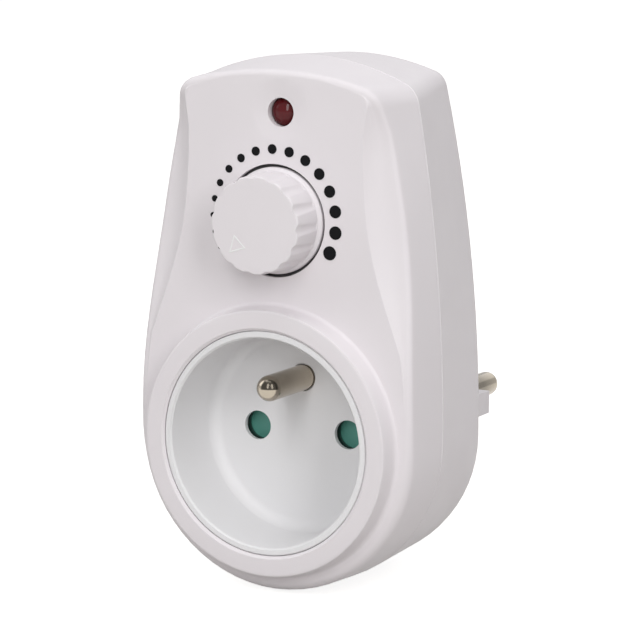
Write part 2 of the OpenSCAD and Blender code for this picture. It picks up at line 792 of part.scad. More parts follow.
module earth_contact() {
    color("goldenrod") union() {
        difference() {
            rod(contact_out_r, earth_sleeve_y, boss_in_y, earth_at);
            rod(contact_in_r, earth_sleeve_y + 1, boss_in_y + past, earth_at);
        }
        slab([-strap_w / 2, strap_w / 2], [earth_sleeve_y - 5, earth_sleeve_y + 0.5],
            [earth_rise - strap_t, earth_rise]);
    }
}

// Plug

module plug_pin(at) {
    tip_y = plug_y + plug_pin_length;
    color("silver") union() {
        spun(at) union() {
            translate([0, tip_y - pin_r]) intersection() {
                circle(r = pin_r);
                square([pin_r, pin_r]);
            }
            translate([0, plug_y - past]) square([pin_r, tip_y - pin_r - plug_y + past]);
            translate([0, strap_end_y - 5]) square([pin_root_r, plug_y - strap_end_y + 5]);
            translate([0, retainer_back_y]) square([pin_root_r + 0.6, pin_flange_t]);
        }
        slab([at.x - strap_w / 2, at.x + strap_w / 2], [strap_end_y - 5, strap_end_y], [0, tongue_top]);
    }
}

module live_pin() {
    plug_pin(live_at);
}

module neutral_pin() {
    plug_pin(neutral_at);
}

module pin_retainer() {
    color("dimgray") difference() {
        intersection() {
            rod(boss_in_r - 0.3, retainer_y, retainer_back_y);
            slab([-boss_r, boss_r], [retainer_y - past, retainer_back_y + past],
                [-5.5, earth_rise - contact_out_r - 0.6]);
        }
        for (at = [live_at, neutral_at]) rod(pin_root_r + 0.1, retainer_y - past, retainer_back_y + past, at);
        rod(small_screw_r + 0.1, retainer_y - past, retainer_back_y + past);
    }
}

module retainer_screw() {
    color("silver") screw([0, 0], retainer_y, plug_y - 1.7, small_screw_r, small_head_r, 1.2);
}

// Dial

function dot_angle(k) = dot_start + dot_step * k + dot_step_widen * k * (k - 1) / 2;
function dot_place(k) =
    dial_at + [0, dot_lift] + dot_ring_r * [sin(dot_angle(k)), cos(dot_angle(k))];
ink_t = 0.08;

module dial_dots() {
    color("black") for (k = [0 : dot_count - 1])
        rod((dot_first_d + dot_widen * k) / 2, -ink_t, 0, dot_place(k));
}

knob_skirt_r = recess_r - knob_gap;
knob_seat_y = recess_depth - 0.3;
nut_t = 2;
nut_r = bushing_r + 1.9;
hub_r = shaft_r + 1.4;
shaft_tip_y = -knob_rise + 2;
bushing_tip_y = recess_depth - nut_t - 0.4;
cavity_y = -skirt_rise - 1.2;

module knob_solid() {
    face_edge = 0.25;
    spun(dial_at) polygon([
        [0, knob_seat_y], [knob_skirt_r, knob_seat_y], [knob_skirt_r, knob_skirt_r - grip_r - skirt_rise],
        [grip_r, -skirt_rise], [grip_face_r, -knob_rise + face_edge], [grip_face_r - face_edge, -knob_rise],
        [0, -knob_rise]
    ]);
}

// Scoops that deepen from the skirt to the face, with a ridge between two of them under the pointer
module flute_cuts() {
    grip_h = knob_rise - skirt_rise;
    lean = atan((grip_r - flute_end_depth - grip_face_r + flute_depth) / grip_h);
    for (k = [0 : flutes - 1])
        translate([dial_at.x, row_y(-skirt_rise - 0.3), dial_at.y])
            rotate([0, pointer_angle - 90 + 360 * (k + 0.5) / flutes, 0])
                translate([grip_r + flute_r - flute_end_depth, 0, 0]) rotate([90, 0, -lean])
                    cylinder(r = flute_r, h = grip_h + past);
}

// An outline triangle that points outwards along the dial angle
module pointer_mark() {
    line_w = 0.4;
    tip = grip_face_r - 1.35;
    half = pointer_base / 2;
    in_r = half * pointer_length / (half + norm([half, pointer_length]));
    middle = [0, tip - pointer_length + in_r];
    corners = [[0, tip], [half, tip - pointer_length], [-half, tip - pointer_length]];
    translate([dial_at.x, row_y(-knob_rise + fit_gap), dial_at.y]) rotate([0, pointer_angle, 0])
        rotate([90, 0, 0]) linear_extrude(height = pointer_rise + fit_gap) difference() {
            polygon(corners);
            polygon([for (p = corners) middle + (p - middle) * (1 - line_w / in_r)]);
        }
}

module knob() {
    color("whitesmoke") union() {
        difference() {
            knob_solid();
            flute_cuts();
            difference() {
                rod(grip_face_r - 1.6, cavity_y, knob_seat_y + past, dial_at);
                rod(hub_r, cavity_y - past, bushing_tip_y - 0.3, dial_at);
            }
            rod(shaft_r + fit_gap, shaft_tip_y - 0.2, knob_seat_y + past, dial_at);
        }
        pointer_mark();
    }
}

// Potentiometer

pot_y = pocket_back_y;
pot_back_y = pot_y + 7.2;
pot_wall = 1;
track_y = pot_back_y - pot_wall - strap_t;
wiper_y = track_y - 0.2 - strap_t;

module pot_body() {
    color("slategray") difference() {
        union() {
            rod(pot_r, pot_y, pot_back_y, dial_at);
            rod(bushing_r, bushing_tip_y, pot_y + pot_wall, dial_at);
        }
        rod(pot_r - pot_wall, pot_y + pot_wall, pot_back_y - pot_wall, dial_at);
        rod(shaft_r + shaft_gap, bushing_tip_y - past, pot_y + pot_wall + past, dial_at);
    }
}

module pot_track() {
    color("saddlebrown") difference() {
        rod(pot_r - pot_wall - 0.6, track_y, track_y + strap_t, dial_at);
        rod(shaft_r, track_y - past, track_y + strap_t + past, dial_at);
        slab([-1.4, 1.4], [track_y - past, track_y + strap_t + past], [dial_z - pot_r, dial_z]);
    }
}

module pot_terminals() {
    leg_w = 1.2;
    leg_t = 0.6;
    low = dial_z - pot_r + 0.4;
    color("silver") for (x = [-4.5, 0, 4.5]) union() {
        slab([x - leg_w / 2, x + leg_w / 2], [pot_back_y, pot_back_y + leg_t], [low + 1.6, low + 5]);
        slab([x - leg_w / 2, x + leg_w / 2], [pot_back_y, board_y], [low + 1.6, low + 1.6 + leg_t]);
    }
}

module pot_nut() {
    color("silver") difference() {
        translate([dial_at.x, row_y(recess_depth - nut_t), dial_at.y]) rotate([-90, 0, 0])
            cylinder(r = nut_r, h = nut_t, $fn = 6);
        rod(bushing_r + fit_gap, recess_depth - nut_t - past, recess_depth + past, dial_at);
    }
}

module pot_shaft() {
    color("silver") union() {
        rod(shaft_r, shaft_tip_y, pot_y + pot_wall + 0.3, dial_at);
        rod(shaft_r + 0.8, pot_y + pot_wall + 0.3, wiper_y, dial_at);
    }
}

module pot_wiper() {
    arm_w = 2;
    color("goldenrod") union() {
        rod(shaft_r + 0.4, wiper_y, wiper_y + strap_t, dial_at);
        translate([dial_at.x, 0, dial_at.y]) rotate([0, pointer_angle, 0])
            slab([-arm_w / 2, arm_w / 2], [wiper_y, wiper_y + strap_t], [0, pot_r - pot_wall - 1]);
    }
}

// Indicator

led_back_y = led_sink + 8;
led_dome_r = (led_r * led_r + led_dome * led_dome) / (2 * led_dome);
led_rim_t = 1;
lead_t = 0.5;
lead_pitch = 2.54;
board_high = dial_z + 14.2;

module indicator_led() {
    rim_r = led_r + 0.4;
    color("darkred") spun(led_at) union() {
        translate([0, led_sink + led_dome_r]) intersection() {
            circle(r = led_dome_r);
            translate([0, -led_dome_r]) square([led_r, led_dome]);
        }
        translate([0, led_sink + led_dome]) square([led_r, led_back_y - led_sink - led_dome]);
        translate([0, led_back_y - led_rim_t]) square([rim_r, led_rim_t]);
    }
}

module led_leads() {
    turn_y = led_back_y + 2;
    low_z = board_high - 2;
    color("silver") for (side = [-1, 1]) {
        mid_x = led_at.x + side * lead_pitch / 2;
        x = [mid_x - lead_t / 2, mid_x + lead_t / 2];
        slab(x, [led_back_y, turn_y + lead_t], [led_at.y - lead_t / 2, led_at.y + lead_t / 2]);
        slab(x, [turn_y, turn_y + lead_t], [low_z, led_at.y + lead_t / 2]);
        slab(x, [turn_y, board_y], [low_z, low_z + lead_t]);
    }
}

// Circuit board and its components

module circuit_board() {
    color("darkgreen") difference() {
        translate([0, row_y(board_back_y), 0]) rotate([90, 0, 0]) linear_extrude(height = board_t)
            polygon([
                [-board_half_w, board_low], [board_half_w, board_low],
                [board_half_w - 1.6, board_high], [-board_half_w + 1.6, board_high]
            ]);
        for (at = case_posts) rod(case_post_r + 0.4, board_y - past, board_back_y + past, at);
        for (at = board_posts) rod(small_screw_r + 0.1, board_y - past, board_back_y + past, at);
    }
}

module board_screws() {
    color("silver") for (at = board_posts)
        screw(at, board_back_y, board_y - 6, small_screw_r, small_head_r, 1.2);
}

// The triac stands off the board on its legs, flat against the heat sink
triac_x = [5, 15];
triac_y = [board_back_y + 5, board_back_y + 9.5];
triac_z = [dial_z - 4, dial_z + 5.2];
sink_x = [3.4, 17.4];
sink_t = 1.5;
sink_screw_at = [(triac_x[0] + triac_x[1]) / 2, triac_z[1] - 2.6];

module triac() {
    color("black") difference() {
        slab(triac_x, triac_y, triac_z);
        rod(small_screw_r + 0.2, triac_y[0] - past, triac_y[1] + past, sink_screw_at);
    }
}

module triac_legs() {
    leg_w = 0.8;
    leg_t = 0.6;
    leg_y = triac_y[0] + 1.5;
    leg_low = triac_z[0] - 2.5;
    color("silver") for (step = [-1, 0, 1]) {
        mid_x = sink_screw_at.x + step * lead_pitch;
        x = [mid_x - leg_w / 2, mid_x + leg_w / 2];
        slab(x, [leg_y, leg_y + leg_t], [leg_low, triac_z[0]]);
        slab(x, [board_back_y, leg_y + leg_t], [leg_low, leg_low + leg_t]);
    }
}

module heat_sink() {
    sink_z = [triac_z[0] - 2, triac_z[1] + 2.4];
    color("lightgray") difference() {
        union() {
            slab(sink_x, [triac_y[1], triac_y[1] + sink_t], sink_z);
            slab([sink_x[1] - sink_t, sink_x[1]], [board_back_y, triac_y[1] + sink_t], sink_z);
        }
        rod(small_screw_r + fit_gap, triac_y[1] - past, triac_y[1] + sink_t + past, sink_screw_at);
    }
}

module heat_sink_screw() {
    color("silver") screw(sink_screw_at, triac_y[0], triac_y[1] + sink_t + 1, small_screw_r,
        small_head_r, 1.2);
}

// The choke lies flat on the board: a ring core with one open winding
choke_at = [-8.4, dial_z + 0.8];
choke_ring_r = 5;
choke_core_r = 2.1;
choke_wind_r = choke_core_r + choke_wire_r + 0.1;
choke_y = board_back_y + choke_wind_r + choke_wire_r + 0.1;

module choke_core() {
    color("darkslategray") spun(choke_at) translate([choke_ring_r, choke_y]) circle(r = choke_core_r);
}

module choke_winding() {
    per_turn = 10;
    steps = per_turn * choke_turns;
    sweep = 330;
    round_ring = [for (i = [0 : steps]) let (a = sweep * i / steps) [cos(a), 0, sin(a)]];
    outward = [
        for (i = [0 : steps])
            let (b = 360 * i / per_turn)
            cos(b) * round_ring[i] + sin(b) * [0, 1, 0]
    ];
    middle = [choke_at.x, row_y(choke_y), choke_at.y];
    points = [for (i = [0 : steps]) middle + choke_ring_r * round_ring[i] + choke_wind_r * outward[i]];
    inner_pitch = (choke_ring_r - choke_wind_r) * sweep * PI / 180 / choke_turns;
    echo(least_gap_of_the_winding = inner_pitch - 2 * choke_wire_r);
    color("chocolate") coil_tube(points, outward, choke_wire_r);
}

// A boxed component on the front of the board, by its middle [x, z] and its size [width, depth, height]
module box_part(at, size) {
    slab([at.x - size.x / 2, at.x + size.x / 2], [board_y - size.y, board_y],
        [at.y - size.z / 2, at.y + size.z / 2]);
}

suppressor_size = [8, 7.6, 13];
suppressor_at = [1.8 + suppressor_size.x / 2 - board_half_w, dial_z - 0.3];
timing_size = [3.6, 6, 7];
timing_at = [pot_r + 1.8 + timing_size.x / 2, dial_z - 0.5];

module suppression_capacitor() {
    color("gold") box_part(suppressor_at, suppressor_size);
}

module timing_capacitor() {
    color("royalblue") box_part(timing_at, timing_size);
}

// An axial component on two legs, along X above the board
module axial_part(x_mid, z, r, length) {
    y = board_back_y + r + 0.4;
    half = length / 2;
    union() {
        cross_rod(r, x_mid - half, x_mid + half, y, z);
        for (side = [-1, 1]) {
            end = x_mid + side * half;
            slab([min(end, end + side * lead_t), max(end, end + side * lead_t)],
                [board_back_y, y + lead_t / 2], [z - lead_t / 2, z + lead_t / 2]);
        }
    }
}

resistor_r = 1.15;
resistor_length = 6.3;
resistor_x = [-5.5, 4];
diac_r = 0.9;
diac_length = 4;

module resistors() {
    color("tan") for (x = resistor_x)
        axial_part(x, board_high - resistor_r - 0.75, resistor_r, resistor_length);
}

module diac() {
    color("orangered") axial_part(-1.5, board_low + diac_r + 1.3, diac_r, diac_length);
}

fuse_z = dial_z - 11;
fuse_y = board_back_y + 5;
fuse_cap_r = fuse_r + 0.25;
fuse_cap_length = 5;
fuse_x = [-fuse_length / 2, fuse_length / 2];

module fuse_tube() {
    tube_wall = 0.6;
    color("lightcyan") difference() {
        cross_rod(fuse_r, fuse_x[0] + 0.4, fuse_x[1] - 0.4, fuse_y, fuse_z);
        cross_rod(fuse_r - tube_wall, fuse_x[0], fuse_x[1], fuse_y, fuse_z);
    }
}

module fuse_caps() {
    color("silver") for (side = [0, 1]) mirror([side, 0, 0]) difference() {
        cross_rod(fuse_cap_r, fuse_x[1] - fuse_cap_length, fuse_x[1], fuse_y, fuse_z);
        cross_rod(fuse_r + 0.02, fuse_x[1] - fuse_cap_length - past, fuse_x[1] - 0.4, fuse_y, fuse_z);
    }
}

module fuse_clips() {
    clip_w = 3;
    arm = fuse_cap_r + 0.6;
    color("goldenrod") for (side = [0, 1]) mirror([side, 0, 0]) difference() {
        slab([fuse_x[1] - 1 - clip_w, fuse_x[1] - 1], [board_back_y, fuse_y + 1.6],
            [fuse_z - arm, fuse_z + arm]);
        cross_rod(fuse_cap_r + fit_gap, fuse_x[1] - clip_w - 2, fuse_x[1], fuse_y, fuse_z);
    }
}

front_cover();
rear_cover();
socket_insert();
earth_pin();
shutter();
shutter_spring();
contact_carrier();
carrier_screws();
live_contact();
neutral_contact();
neutral_strap();
live_strap();
load_strap();
earth_strap();
earth_contact();
live_pin();
neutral_pin();
pin_retainer();
retainer_screw();
case_screws();
knob();
dial_dots();
indicator_led();
led_leads();
circuit_board();
board_screws();
pot_body();
pot_track();
pot_terminals();
pot_nut();
pot_shaft();
pot_wiper();
triac();
triac_legs();
heat_sink();
heat_sink_screw();
choke_core();
choke_winding();
suppression_capacitor();
timing_capacitor();
resistors();
diac();
fuse_tube();
fuse_caps();
fuse_clips();
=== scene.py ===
# %% [markdown]
# # A plug-in dimmer, dressed for its picture
# The solids of the part arrive from CAD as a fixed frame. This lesson keeps their places, gives each visible
# piece a smooth skin and a finish with real detail, and sets a camera and soft light round them.
# Everything is in metres. The plug's end face is at the origin, the wall is towards +Y and the dial faces -Y.

# %% Load the frame
import json
import math

import bmesh
import bpy
from mathutils import Matrix, Vector


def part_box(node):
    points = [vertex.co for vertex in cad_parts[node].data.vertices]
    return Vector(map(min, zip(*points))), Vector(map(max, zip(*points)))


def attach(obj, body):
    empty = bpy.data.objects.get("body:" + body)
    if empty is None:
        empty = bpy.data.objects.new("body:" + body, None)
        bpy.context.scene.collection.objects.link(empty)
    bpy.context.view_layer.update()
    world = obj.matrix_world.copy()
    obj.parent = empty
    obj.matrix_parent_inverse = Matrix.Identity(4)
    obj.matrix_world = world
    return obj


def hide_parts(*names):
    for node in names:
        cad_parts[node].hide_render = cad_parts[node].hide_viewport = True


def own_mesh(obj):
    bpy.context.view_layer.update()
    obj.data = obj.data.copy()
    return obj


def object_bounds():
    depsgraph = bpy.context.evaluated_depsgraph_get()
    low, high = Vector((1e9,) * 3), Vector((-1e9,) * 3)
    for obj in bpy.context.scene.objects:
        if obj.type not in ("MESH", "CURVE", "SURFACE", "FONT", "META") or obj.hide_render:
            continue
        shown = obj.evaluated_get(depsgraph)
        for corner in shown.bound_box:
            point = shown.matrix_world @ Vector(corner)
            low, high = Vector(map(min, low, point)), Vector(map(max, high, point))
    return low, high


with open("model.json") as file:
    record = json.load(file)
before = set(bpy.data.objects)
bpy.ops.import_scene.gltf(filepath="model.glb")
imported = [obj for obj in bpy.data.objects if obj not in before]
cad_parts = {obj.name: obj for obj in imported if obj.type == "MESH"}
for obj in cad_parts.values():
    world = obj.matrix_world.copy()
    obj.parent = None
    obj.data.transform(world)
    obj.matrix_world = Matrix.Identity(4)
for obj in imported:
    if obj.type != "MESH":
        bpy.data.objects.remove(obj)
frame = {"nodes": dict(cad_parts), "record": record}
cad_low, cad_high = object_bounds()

MM = 0.001
FRONT = -55 * MM
DIAL_Z = 40.7
LENS_X, LENS_Z = 1.0, 60.5
PIN_X, EARTH_Z = 9.5, 10.0
nodes = frame["nodes"]
print("nodes:", len(nodes), "box:", [round(v, 4) for v in cad_low], [round(v, 4) for v in cad_high])


# %% [markdown]
# ## Camera
# The photograph was taken with a long lens, from the right of the device and a little above it. Its direction
# was fitted through the socket's rims and the dial's ring of dots, so it could be aimed by a constraint or by
# angles. Angles are used, because then the two slants and the small roll can be read and changed.

# %% Place the camera
def aim_camera(turn, rise, roll, distance, shift_right, shift_up, lens):
    back = Vector((math.sin(turn) * math.cos(rise), -math.cos(turn) * math.cos(rise), math.sin(rise)))
    level = Vector((math.cos(turn), math.sin(turn), 0))
    steep = back.cross(level)
    right = math.cos(roll) * level + math.sin(roll) * steep
    up = math.cos(roll) * steep - math.sin(roll) * level
    place = Vector((0, FRONT, 20 * MM)) + distance * back + shift_right * right + shift_up * up
    data = bpy.data.cameras.new("photo_camera")
    data.lens = lens
    data.sensor_width = 36
    data.clip_start = 0.01
    data.clip_end = 50
    camera = bpy.data.objects.new("photo_camera", data)
    turned = Matrix((right, up, back)).transposed().to_4x4()
    camera.matrix_world = Matrix.Translation(place) @ turned
    bpy.context.scene.collection.objects.link(camera)
    bpy.context.scene.camera = camera
    return camera


camera = aim_camera(turn=0.485086, rise=0.165934, roll=0.008295, distance=0.62, shift_right=8.5016 * MM,
                    shift_up=2.4201 * MM, lens=191.07)
print("camera at", [round(v, 4) for v in camera.location])


# %% [markdown]
# ## Light and floor
# The photograph is a catalogue picture on a white ground. The two tall highlights on the polished earth pin show
# where its lamps stood: two upright strip boxes, one nearly in front and one on the right, with a small lamp high
# on the left. Broad fills were then added and the powers set by the tones of the plastic. The ground's white
# comes from Light Path in the floor's own material, so the lamps can stay at a level that suits the plastic.

# %% Lamps
middle = Vector((0, -0.03, 0.02))


def soft_lamp(name, around, above, power, width=0.8, height=0.8, distance=1.3):
    """A soft box aimed at the device, placed by its angle from the front and above the floor."""
    side, lift = math.radians(around), math.radians(above)
    way = Vector((math.sin(side) * math.cos(lift), -math.cos(side) * math.cos(lift), math.sin(lift)))
    data = bpy.data.lights.new(name, "AREA")
    data.shape = "RECTANGLE"
    data.size = width
    data.size_y = height
    data.energy = power
    lamp = bpy.data.objects.new(name, data)
    lamp.location = middle + distance * way
    lamp.rotation_euler = (-way).to_track_quat("-Z", "Y").to_euler()
    bpy.context.scene.collection.objects.link(lamp)
    return lamp


lamps = [soft_lamp("right_strip", 51, 24, 5.4, width=0.3, height=0.9),
         soft_lamp("front_strip", 10.5, 27, 5.6, width=0.3, height=0.9),
         soft_lamp("high_left", -38, 63, 0.5, width=0.3, height=0.3), soft_lamp("left_fill", -75, 30, 2.6),
         soft_lamp("top_fill", 0, 82, 5.3), soft_lamp("back_fill", 180, 35, 1.3),
         soft_lamp("side_fill", 108, 15, 0.9)]
print("lamps:", [(lamp.name, lamp.data.energy) for lamp in lamps])


# %% Sky and floor
def seen_plainly(tree):
    """One for camera, mirror and glass rays, so that all of them see the same white ground."""
    path = tree.nodes.new("ShaderNodeLightPath")
    first = tree.nodes.new("ShaderNodeMath")
    first.operation = "MAXIMUM"
    both = tree.nodes.new("ShaderNodeMath")
    both.operation = "MAXIMUM"
    tree.links.new(path.outputs["Is Camera Ray"], first.inputs[0])
    tree.links.new(path.outputs["Is Glossy Ray"], first.inputs[1])
    tree.links.new(first.outputs[0], both.inputs[0])
    tree.links.new(path.outputs["Is Transmission Ray"], both.inputs[1])
    return both.outputs[0]


world = bpy.data.worlds.new("studio")
bpy.context.scene.world = world
world.use_nodes = True
sky = world.node_tree
sky.nodes.clear()
sky_out = sky.nodes.new("ShaderNodeOutputWorld")
sky_mix = sky.nodes.new("ShaderNodeMixShader")
sky_soft = sky.nodes.new("ShaderNodeBackground")
sky_soft.inputs["Color"].default_value = (0.97, 0.985, 1, 1)
sky_soft.inputs["Strength"].default_value = 0.3
sky_white = sky.nodes.new("ShaderNodeBackground")
sky_white.inputs["Strength"].default_value = 1
sky.links.new(seen_plainly(sky), sky_mix.inputs[0])
sky.links.new(sky_soft.outputs[0], sky_mix.inputs[1])
sky.links.new(sky_white.outputs[0], sky_mix.inputs[2])
sky.links.new(sky_mix.outputs[0], sky_out.inputs[0])

floor_paint = bpy.data.materials.new("studio_floor")
floor_paint.use_nodes = True
paint = floor_paint.node_tree
paint.nodes.clear()
paint_out = paint.nodes.new("ShaderNodeOutputMaterial")
paint_sum = paint.nodes.new("ShaderNodeAddShader")
paint_lit = paint.nodes.new("ShaderNodeBsdfDiffuse")
paint_lit.inputs["Color"].default_value = (0.5, 0.485, 0.465, 1)
paint_glow = paint.nodes.new("ShaderNodeEmission")
paint_glow.inputs["Color"].default_value = (0.84, 0.84, 0.84, 1)
paint.links.new(seen_plainly(paint), paint_glow.inputs["Strength"])
paint.links.new(paint_lit.outputs[0], paint_sum.inputs[0])
paint.links.new(paint_glow.outputs[0], paint_sum.inputs[1])
paint.links.new(paint_sum.outputs[0], paint_out.inputs[0])

floor_mesh = bpy.data.meshes.new("studio_floor")
reach, floor_z = 4.0, cad_low[2] - 0.0002
floor_mesh.from_pydata(
    [(-reach, -reach, floor_z), (reach, -reach, floor_z), (reach, reach, floor_z), (-reach, reach, floor_z)],
    [], [(0, 1, 2, 3)])
floor = bpy.data.objects.new("studio_floor", floor_mesh)
floor_mesh.materials.append(floor_paint)
bpy.context.scene.collection.objects.link(floor)
bpy.context.scene.view_settings.view_transform = "Standard"
print("floor at", round(floor_z, 4))


# %% [markdown]
# ## Two shared effects
# Most of the device is moulded plastic or rolled metal. Moulded plastic carries the fine spark-eroded texture of
# its tool and drifts a little in tone; metal carries streaks from rolling, drawing or polishing. Both could be
# painted as images, but noise on object coordinates needs no unwrapping and stays sharp at any distance, so each
# is a node group that the finishes below share.

# %% Helpers for node groups
def add_node(tree, kind, **settings):
    node = tree.nodes.new(kind)
    for name, value in settings.items():
        setattr(node, name, value)
    return node


def feed(tree, socket, value):
    if isinstance(value, bpy.types.NodeSocket):
        tree.links.new(value, socket)
    elif value is not None:
        socket.default_value = value


def math_of(tree, operation, *values):
    node = add_node(tree, "ShaderNodeMath", operation=operation)
    for socket, value in zip(node.inputs, values):
        feed(tree, socket, value)
    return node.outputs[0]


def noise_of(tree, vector, scale, detail=2.0, roughness=0.5):
    node = add_node(tree, "ShaderNodeTexNoise")
    feed(tree, node.inputs["Vector"], vector)
    feed(tree, node.inputs["Scale"], scale)
    node.inputs["Detail"].default_value = detail
    node.inputs["Roughness"].default_value = roughness
    return node.outputs["Fac"]


def span_of(tree, value, low, high, from_low=0.3, from_high=0.7):
    node = add_node(tree, "ShaderNodeMapRange")
    feed(tree, node.inputs["Value"], value)
    node.inputs["From Min"].default_value = from_low
    node.inputs["From Max"].default_value = from_high
    feed(tree, node.inputs["To Min"], low)
    feed(tree, node.inputs["To Max"], high)
    return node.outputs["Result"]


def tinted(tree, color, factor):
    node = add_node(tree, "ShaderNodeVectorMath", operation="SCALE")
    feed(tree, node.inputs[0], color)
    feed(tree, node.inputs["Scale"], factor)
    return node.outputs[0]


def effect_group(name, inputs, outputs):
    group = bpy.data.node_groups.new(name, "ShaderNodeTree")
    for label, kind, value in inputs:
        socket = group.interface.new_socket(name=label, in_out="INPUT", socket_type=kind)
        if value is not None:
            socket.default_value = value
    for label, kind in outputs:
        group.interface.new_socket(name=label, in_out="OUTPUT", socket_type=kind)
    return group, group.nodes.new("NodeGroupInput").outputs, group.nodes.new("NodeGroupOutput").inputs


COLOR, FLOAT, VECTOR = "NodeSocketColor", "NodeSocketFloat", "NodeSocketVector"

# %% Moulded texture
moulded, m_in, m_out = effect_group(
    "moulded_texture",
    [("Color", COLOR, (0.7, 0.7, 0.7, 1)), ("Grain", FLOAT, 5200.0), ("Drift", FLOAT, 0.02),
     ("Smooth", FLOAT, 0.34), ("Rough", FLOAT, 0.44)],
    [("Color", COLOR), ("Roughness", FLOAT), ("Height", FLOAT)])
m_place = add_node(moulded, "ShaderNodeTexCoord").outputs["Object"]
m_cloud = noise_of(moulded, m_place, 38.0, 3.0)
m_flow = noise_of(moulded, m_place, 210.0, 4.0, 0.6)
m_grain = noise_of(moulded, m_place, m_in["Grain"], 2.0, 0.6)
m_low = math_of(moulded, "SUBTRACT", 1.0, m_in["Drift"])
m_high = math_of(moulded, "ADD", 1.0, m_in["Drift"])
feed(moulded, m_out["Color"], tinted(moulded, m_in["Color"], span_of(moulded, m_cloud, m_low, m_high)))
feed(moulded, m_out["Roughness"], span_of(moulded, m_flow, m_in["Smooth"], m_in["Rough"]))
feed(moulded, m_out["Height"], m_grain)
print("group", moulded.name, "nodes", len(moulded.nodes))

# %% Drawn and rolled metal
drawn, d_in, d_out = effect_group(
    "drawn_metal",
    [("Color", COLOR, (0.6, 0.6, 0.6, 1)), ("Streak", VECTOR, (300.0, 6000.0, 300.0)), ("Drift", FLOAT, 0.06),
     ("Smooth", FLOAT, 0.2), ("Rough", FLOAT, 0.35)],
    [("Color", COLOR), ("Roughness", FLOAT), ("Height", FLOAT)])
d_map = add_node(drawn, "ShaderNodeVectorMath", operation="MULTIPLY")
d_place = add_node(drawn, "ShaderNodeTexCoord").outputs["Object"]
feed(drawn, d_map.inputs[0], d_place)
feed(drawn, d_map.inputs[1], d_in["Streak"])
d_streak = noise_of(drawn, d_map.outputs[0], 1.0, 3.0, 0.55)
d_stain = noise_of(drawn, d_place, 120.0, 3.0)
d_low = math_of(drawn, "SUBTRACT", 1.0, d_in["Drift"])
d_high = math_of(drawn, "ADD", 1.0, d_in["Drift"])
d_mixed = math_of(drawn, "MULTIPLY", math_of(drawn, "ADD", d_streak, d_stain), 0.5)
feed(drawn, d_out["Color"], tinted(drawn, d_in["Color"], span_of(drawn, d_mixed, d_low, d_high)))
feed(drawn, d_out["Roughness"], span_of(drawn, d_streak, d_in["Smooth"], d_in["Rough"]))
feed(drawn, d_out["Height"], d_streak)
print("group", drawn.name, "nodes", len(drawn.nodes))


# %% [markdown]
# ## Finishes
# Each finish is one material with the same name as its slot in the record. The two groups carry the detail, and
# what is the same all over a surface, such as metalness or a clear coat, sits on the shader's own sockets. A third
# group paints shade into the colour where hardly any light reaches: the gap round the dial knob and the rims of
# the shutter's pockets. At the roots of the plug pins, close to the case, it paints in a dark reflection. With a
# shade above one it paints light instead: the earth pin's foot, which the white cup lights up.
# A fourth belongs to the earth pin's polished tip: it mirrors a bright bench below and a dark room above, and since
# the studio here is white all round, the dark half of that reflection is painted in.

# %% Plain finishes from the two groups
def finish_of(name, group, values, bump=0.1, depth=0.00002, **constants):
    material = bpy.data.materials.new(name)
    material.use_nodes = True
    tree = material.node_tree
    shader = tree.nodes["Principled BSDF"]
    effect = add_node(tree, "ShaderNodeGroup", node_tree=group)
    for label, value in values.items():
        effect.inputs[label].default_value = value
    feed(tree, shader.inputs["Base Color"], effect.outputs["Color"])
    feed(tree, shader.inputs["Roughness"], effect.outputs["Roughness"])
    relief = add_node(tree, "ShaderNodeBump")
    relief.inputs["Strength"].default_value = bump
    relief.inputs["Distance"].default_value = depth
    feed(tree, relief.inputs["Height"], effect.outputs["Height"])
    feed(tree, shader.inputs["Normal"], relief.outputs["Normal"])
    for label, value in constants.items():
        shader.inputs[label.replace("_", " ")].default_value = value
    return material


def tone(red, green, blue):
    return (red, green, blue, 1.0)


paints = {}


def plastic(name, color, grain=5200.0, drift=0.02, smooth=0.34, rough=0.44, bump=0.12, **constants):
    paints[name] = finish_of(name, moulded, {"Color": color, "Grain": grain, "Drift": drift, "Smooth": smooth,
                                             "Rough": rough}, bump, **constants)


def metal(name, color, streak, drift=0.06, smooth=0.2, rough=0.35, bump=0.08, **constants):
    paints[name] = finish_of(name, drawn, {"Color": color, "Streak": streak, "Drift": drift, "Smooth": smooth,
                                           "Rough": rough}, bump, Metallic=1.0, **constants)


plastic("case_plastic", tone(0.742, 0.705, 0.727), drift=0.012, smooth=0.46, rough=0.56, Specular_IOR_Level=0.3)
plastic("socket_plastic", tone(0.765, 0.76, 0.77), drift=0.012, smooth=0.42, rough=0.52,
        Specular_IOR_Level=0.3)
plastic("shutter_green", tone(0.105, 0.34, 0.28), drift=0.08, smooth=0.4, rough=0.55)
plastic("dark_moulding", tone(0.03, 0.03, 0.033), grain=3600.0, drift=0.1, smooth=0.5, rough=0.65, bump=0.3)
plastic("dot_ink", tone(0.008, 0.008, 0.009), grain=9000.0, drift=0.1, smooth=0.5, rough=0.7, bump=0.2,
        Specular_IOR_Level=0.06)
plastic("track_carbon", tone(0.06, 0.035, 0.022), grain=2800.0, drift=0.2, smooth=0.6, rough=0.8, bump=0.3)
plastic("ferrite", tone(0.025, 0.025, 0.028), grain=2400.0, drift=0.25, smooth=0.45, rough=0.7, bump=0.5)
plastic("yellow_box", tone(0.62, 0.38, 0.04), drift=0.04, smooth=0.25, rough=0.35)
plastic("blue_box", tone(0.03, 0.1, 0.38), drift=0.04, smooth=0.2, rough=0.3)
metal("nickel", tone(0.42, 0.37, 0.3), (160.0, 5200.0, 160.0), drift=0.08, smooth=0.12, rough=0.24)
metal("steel", tone(0.52, 0.52, 0.53), (900.0, 5000.0, 900.0), drift=0.08, smooth=0.28, rough=0.42)
metal("brass", tone(0.66, 0.47, 0.19), (500.0, 500.0, 5200.0), drift=0.1, smooth=0.22, rough=0.4)
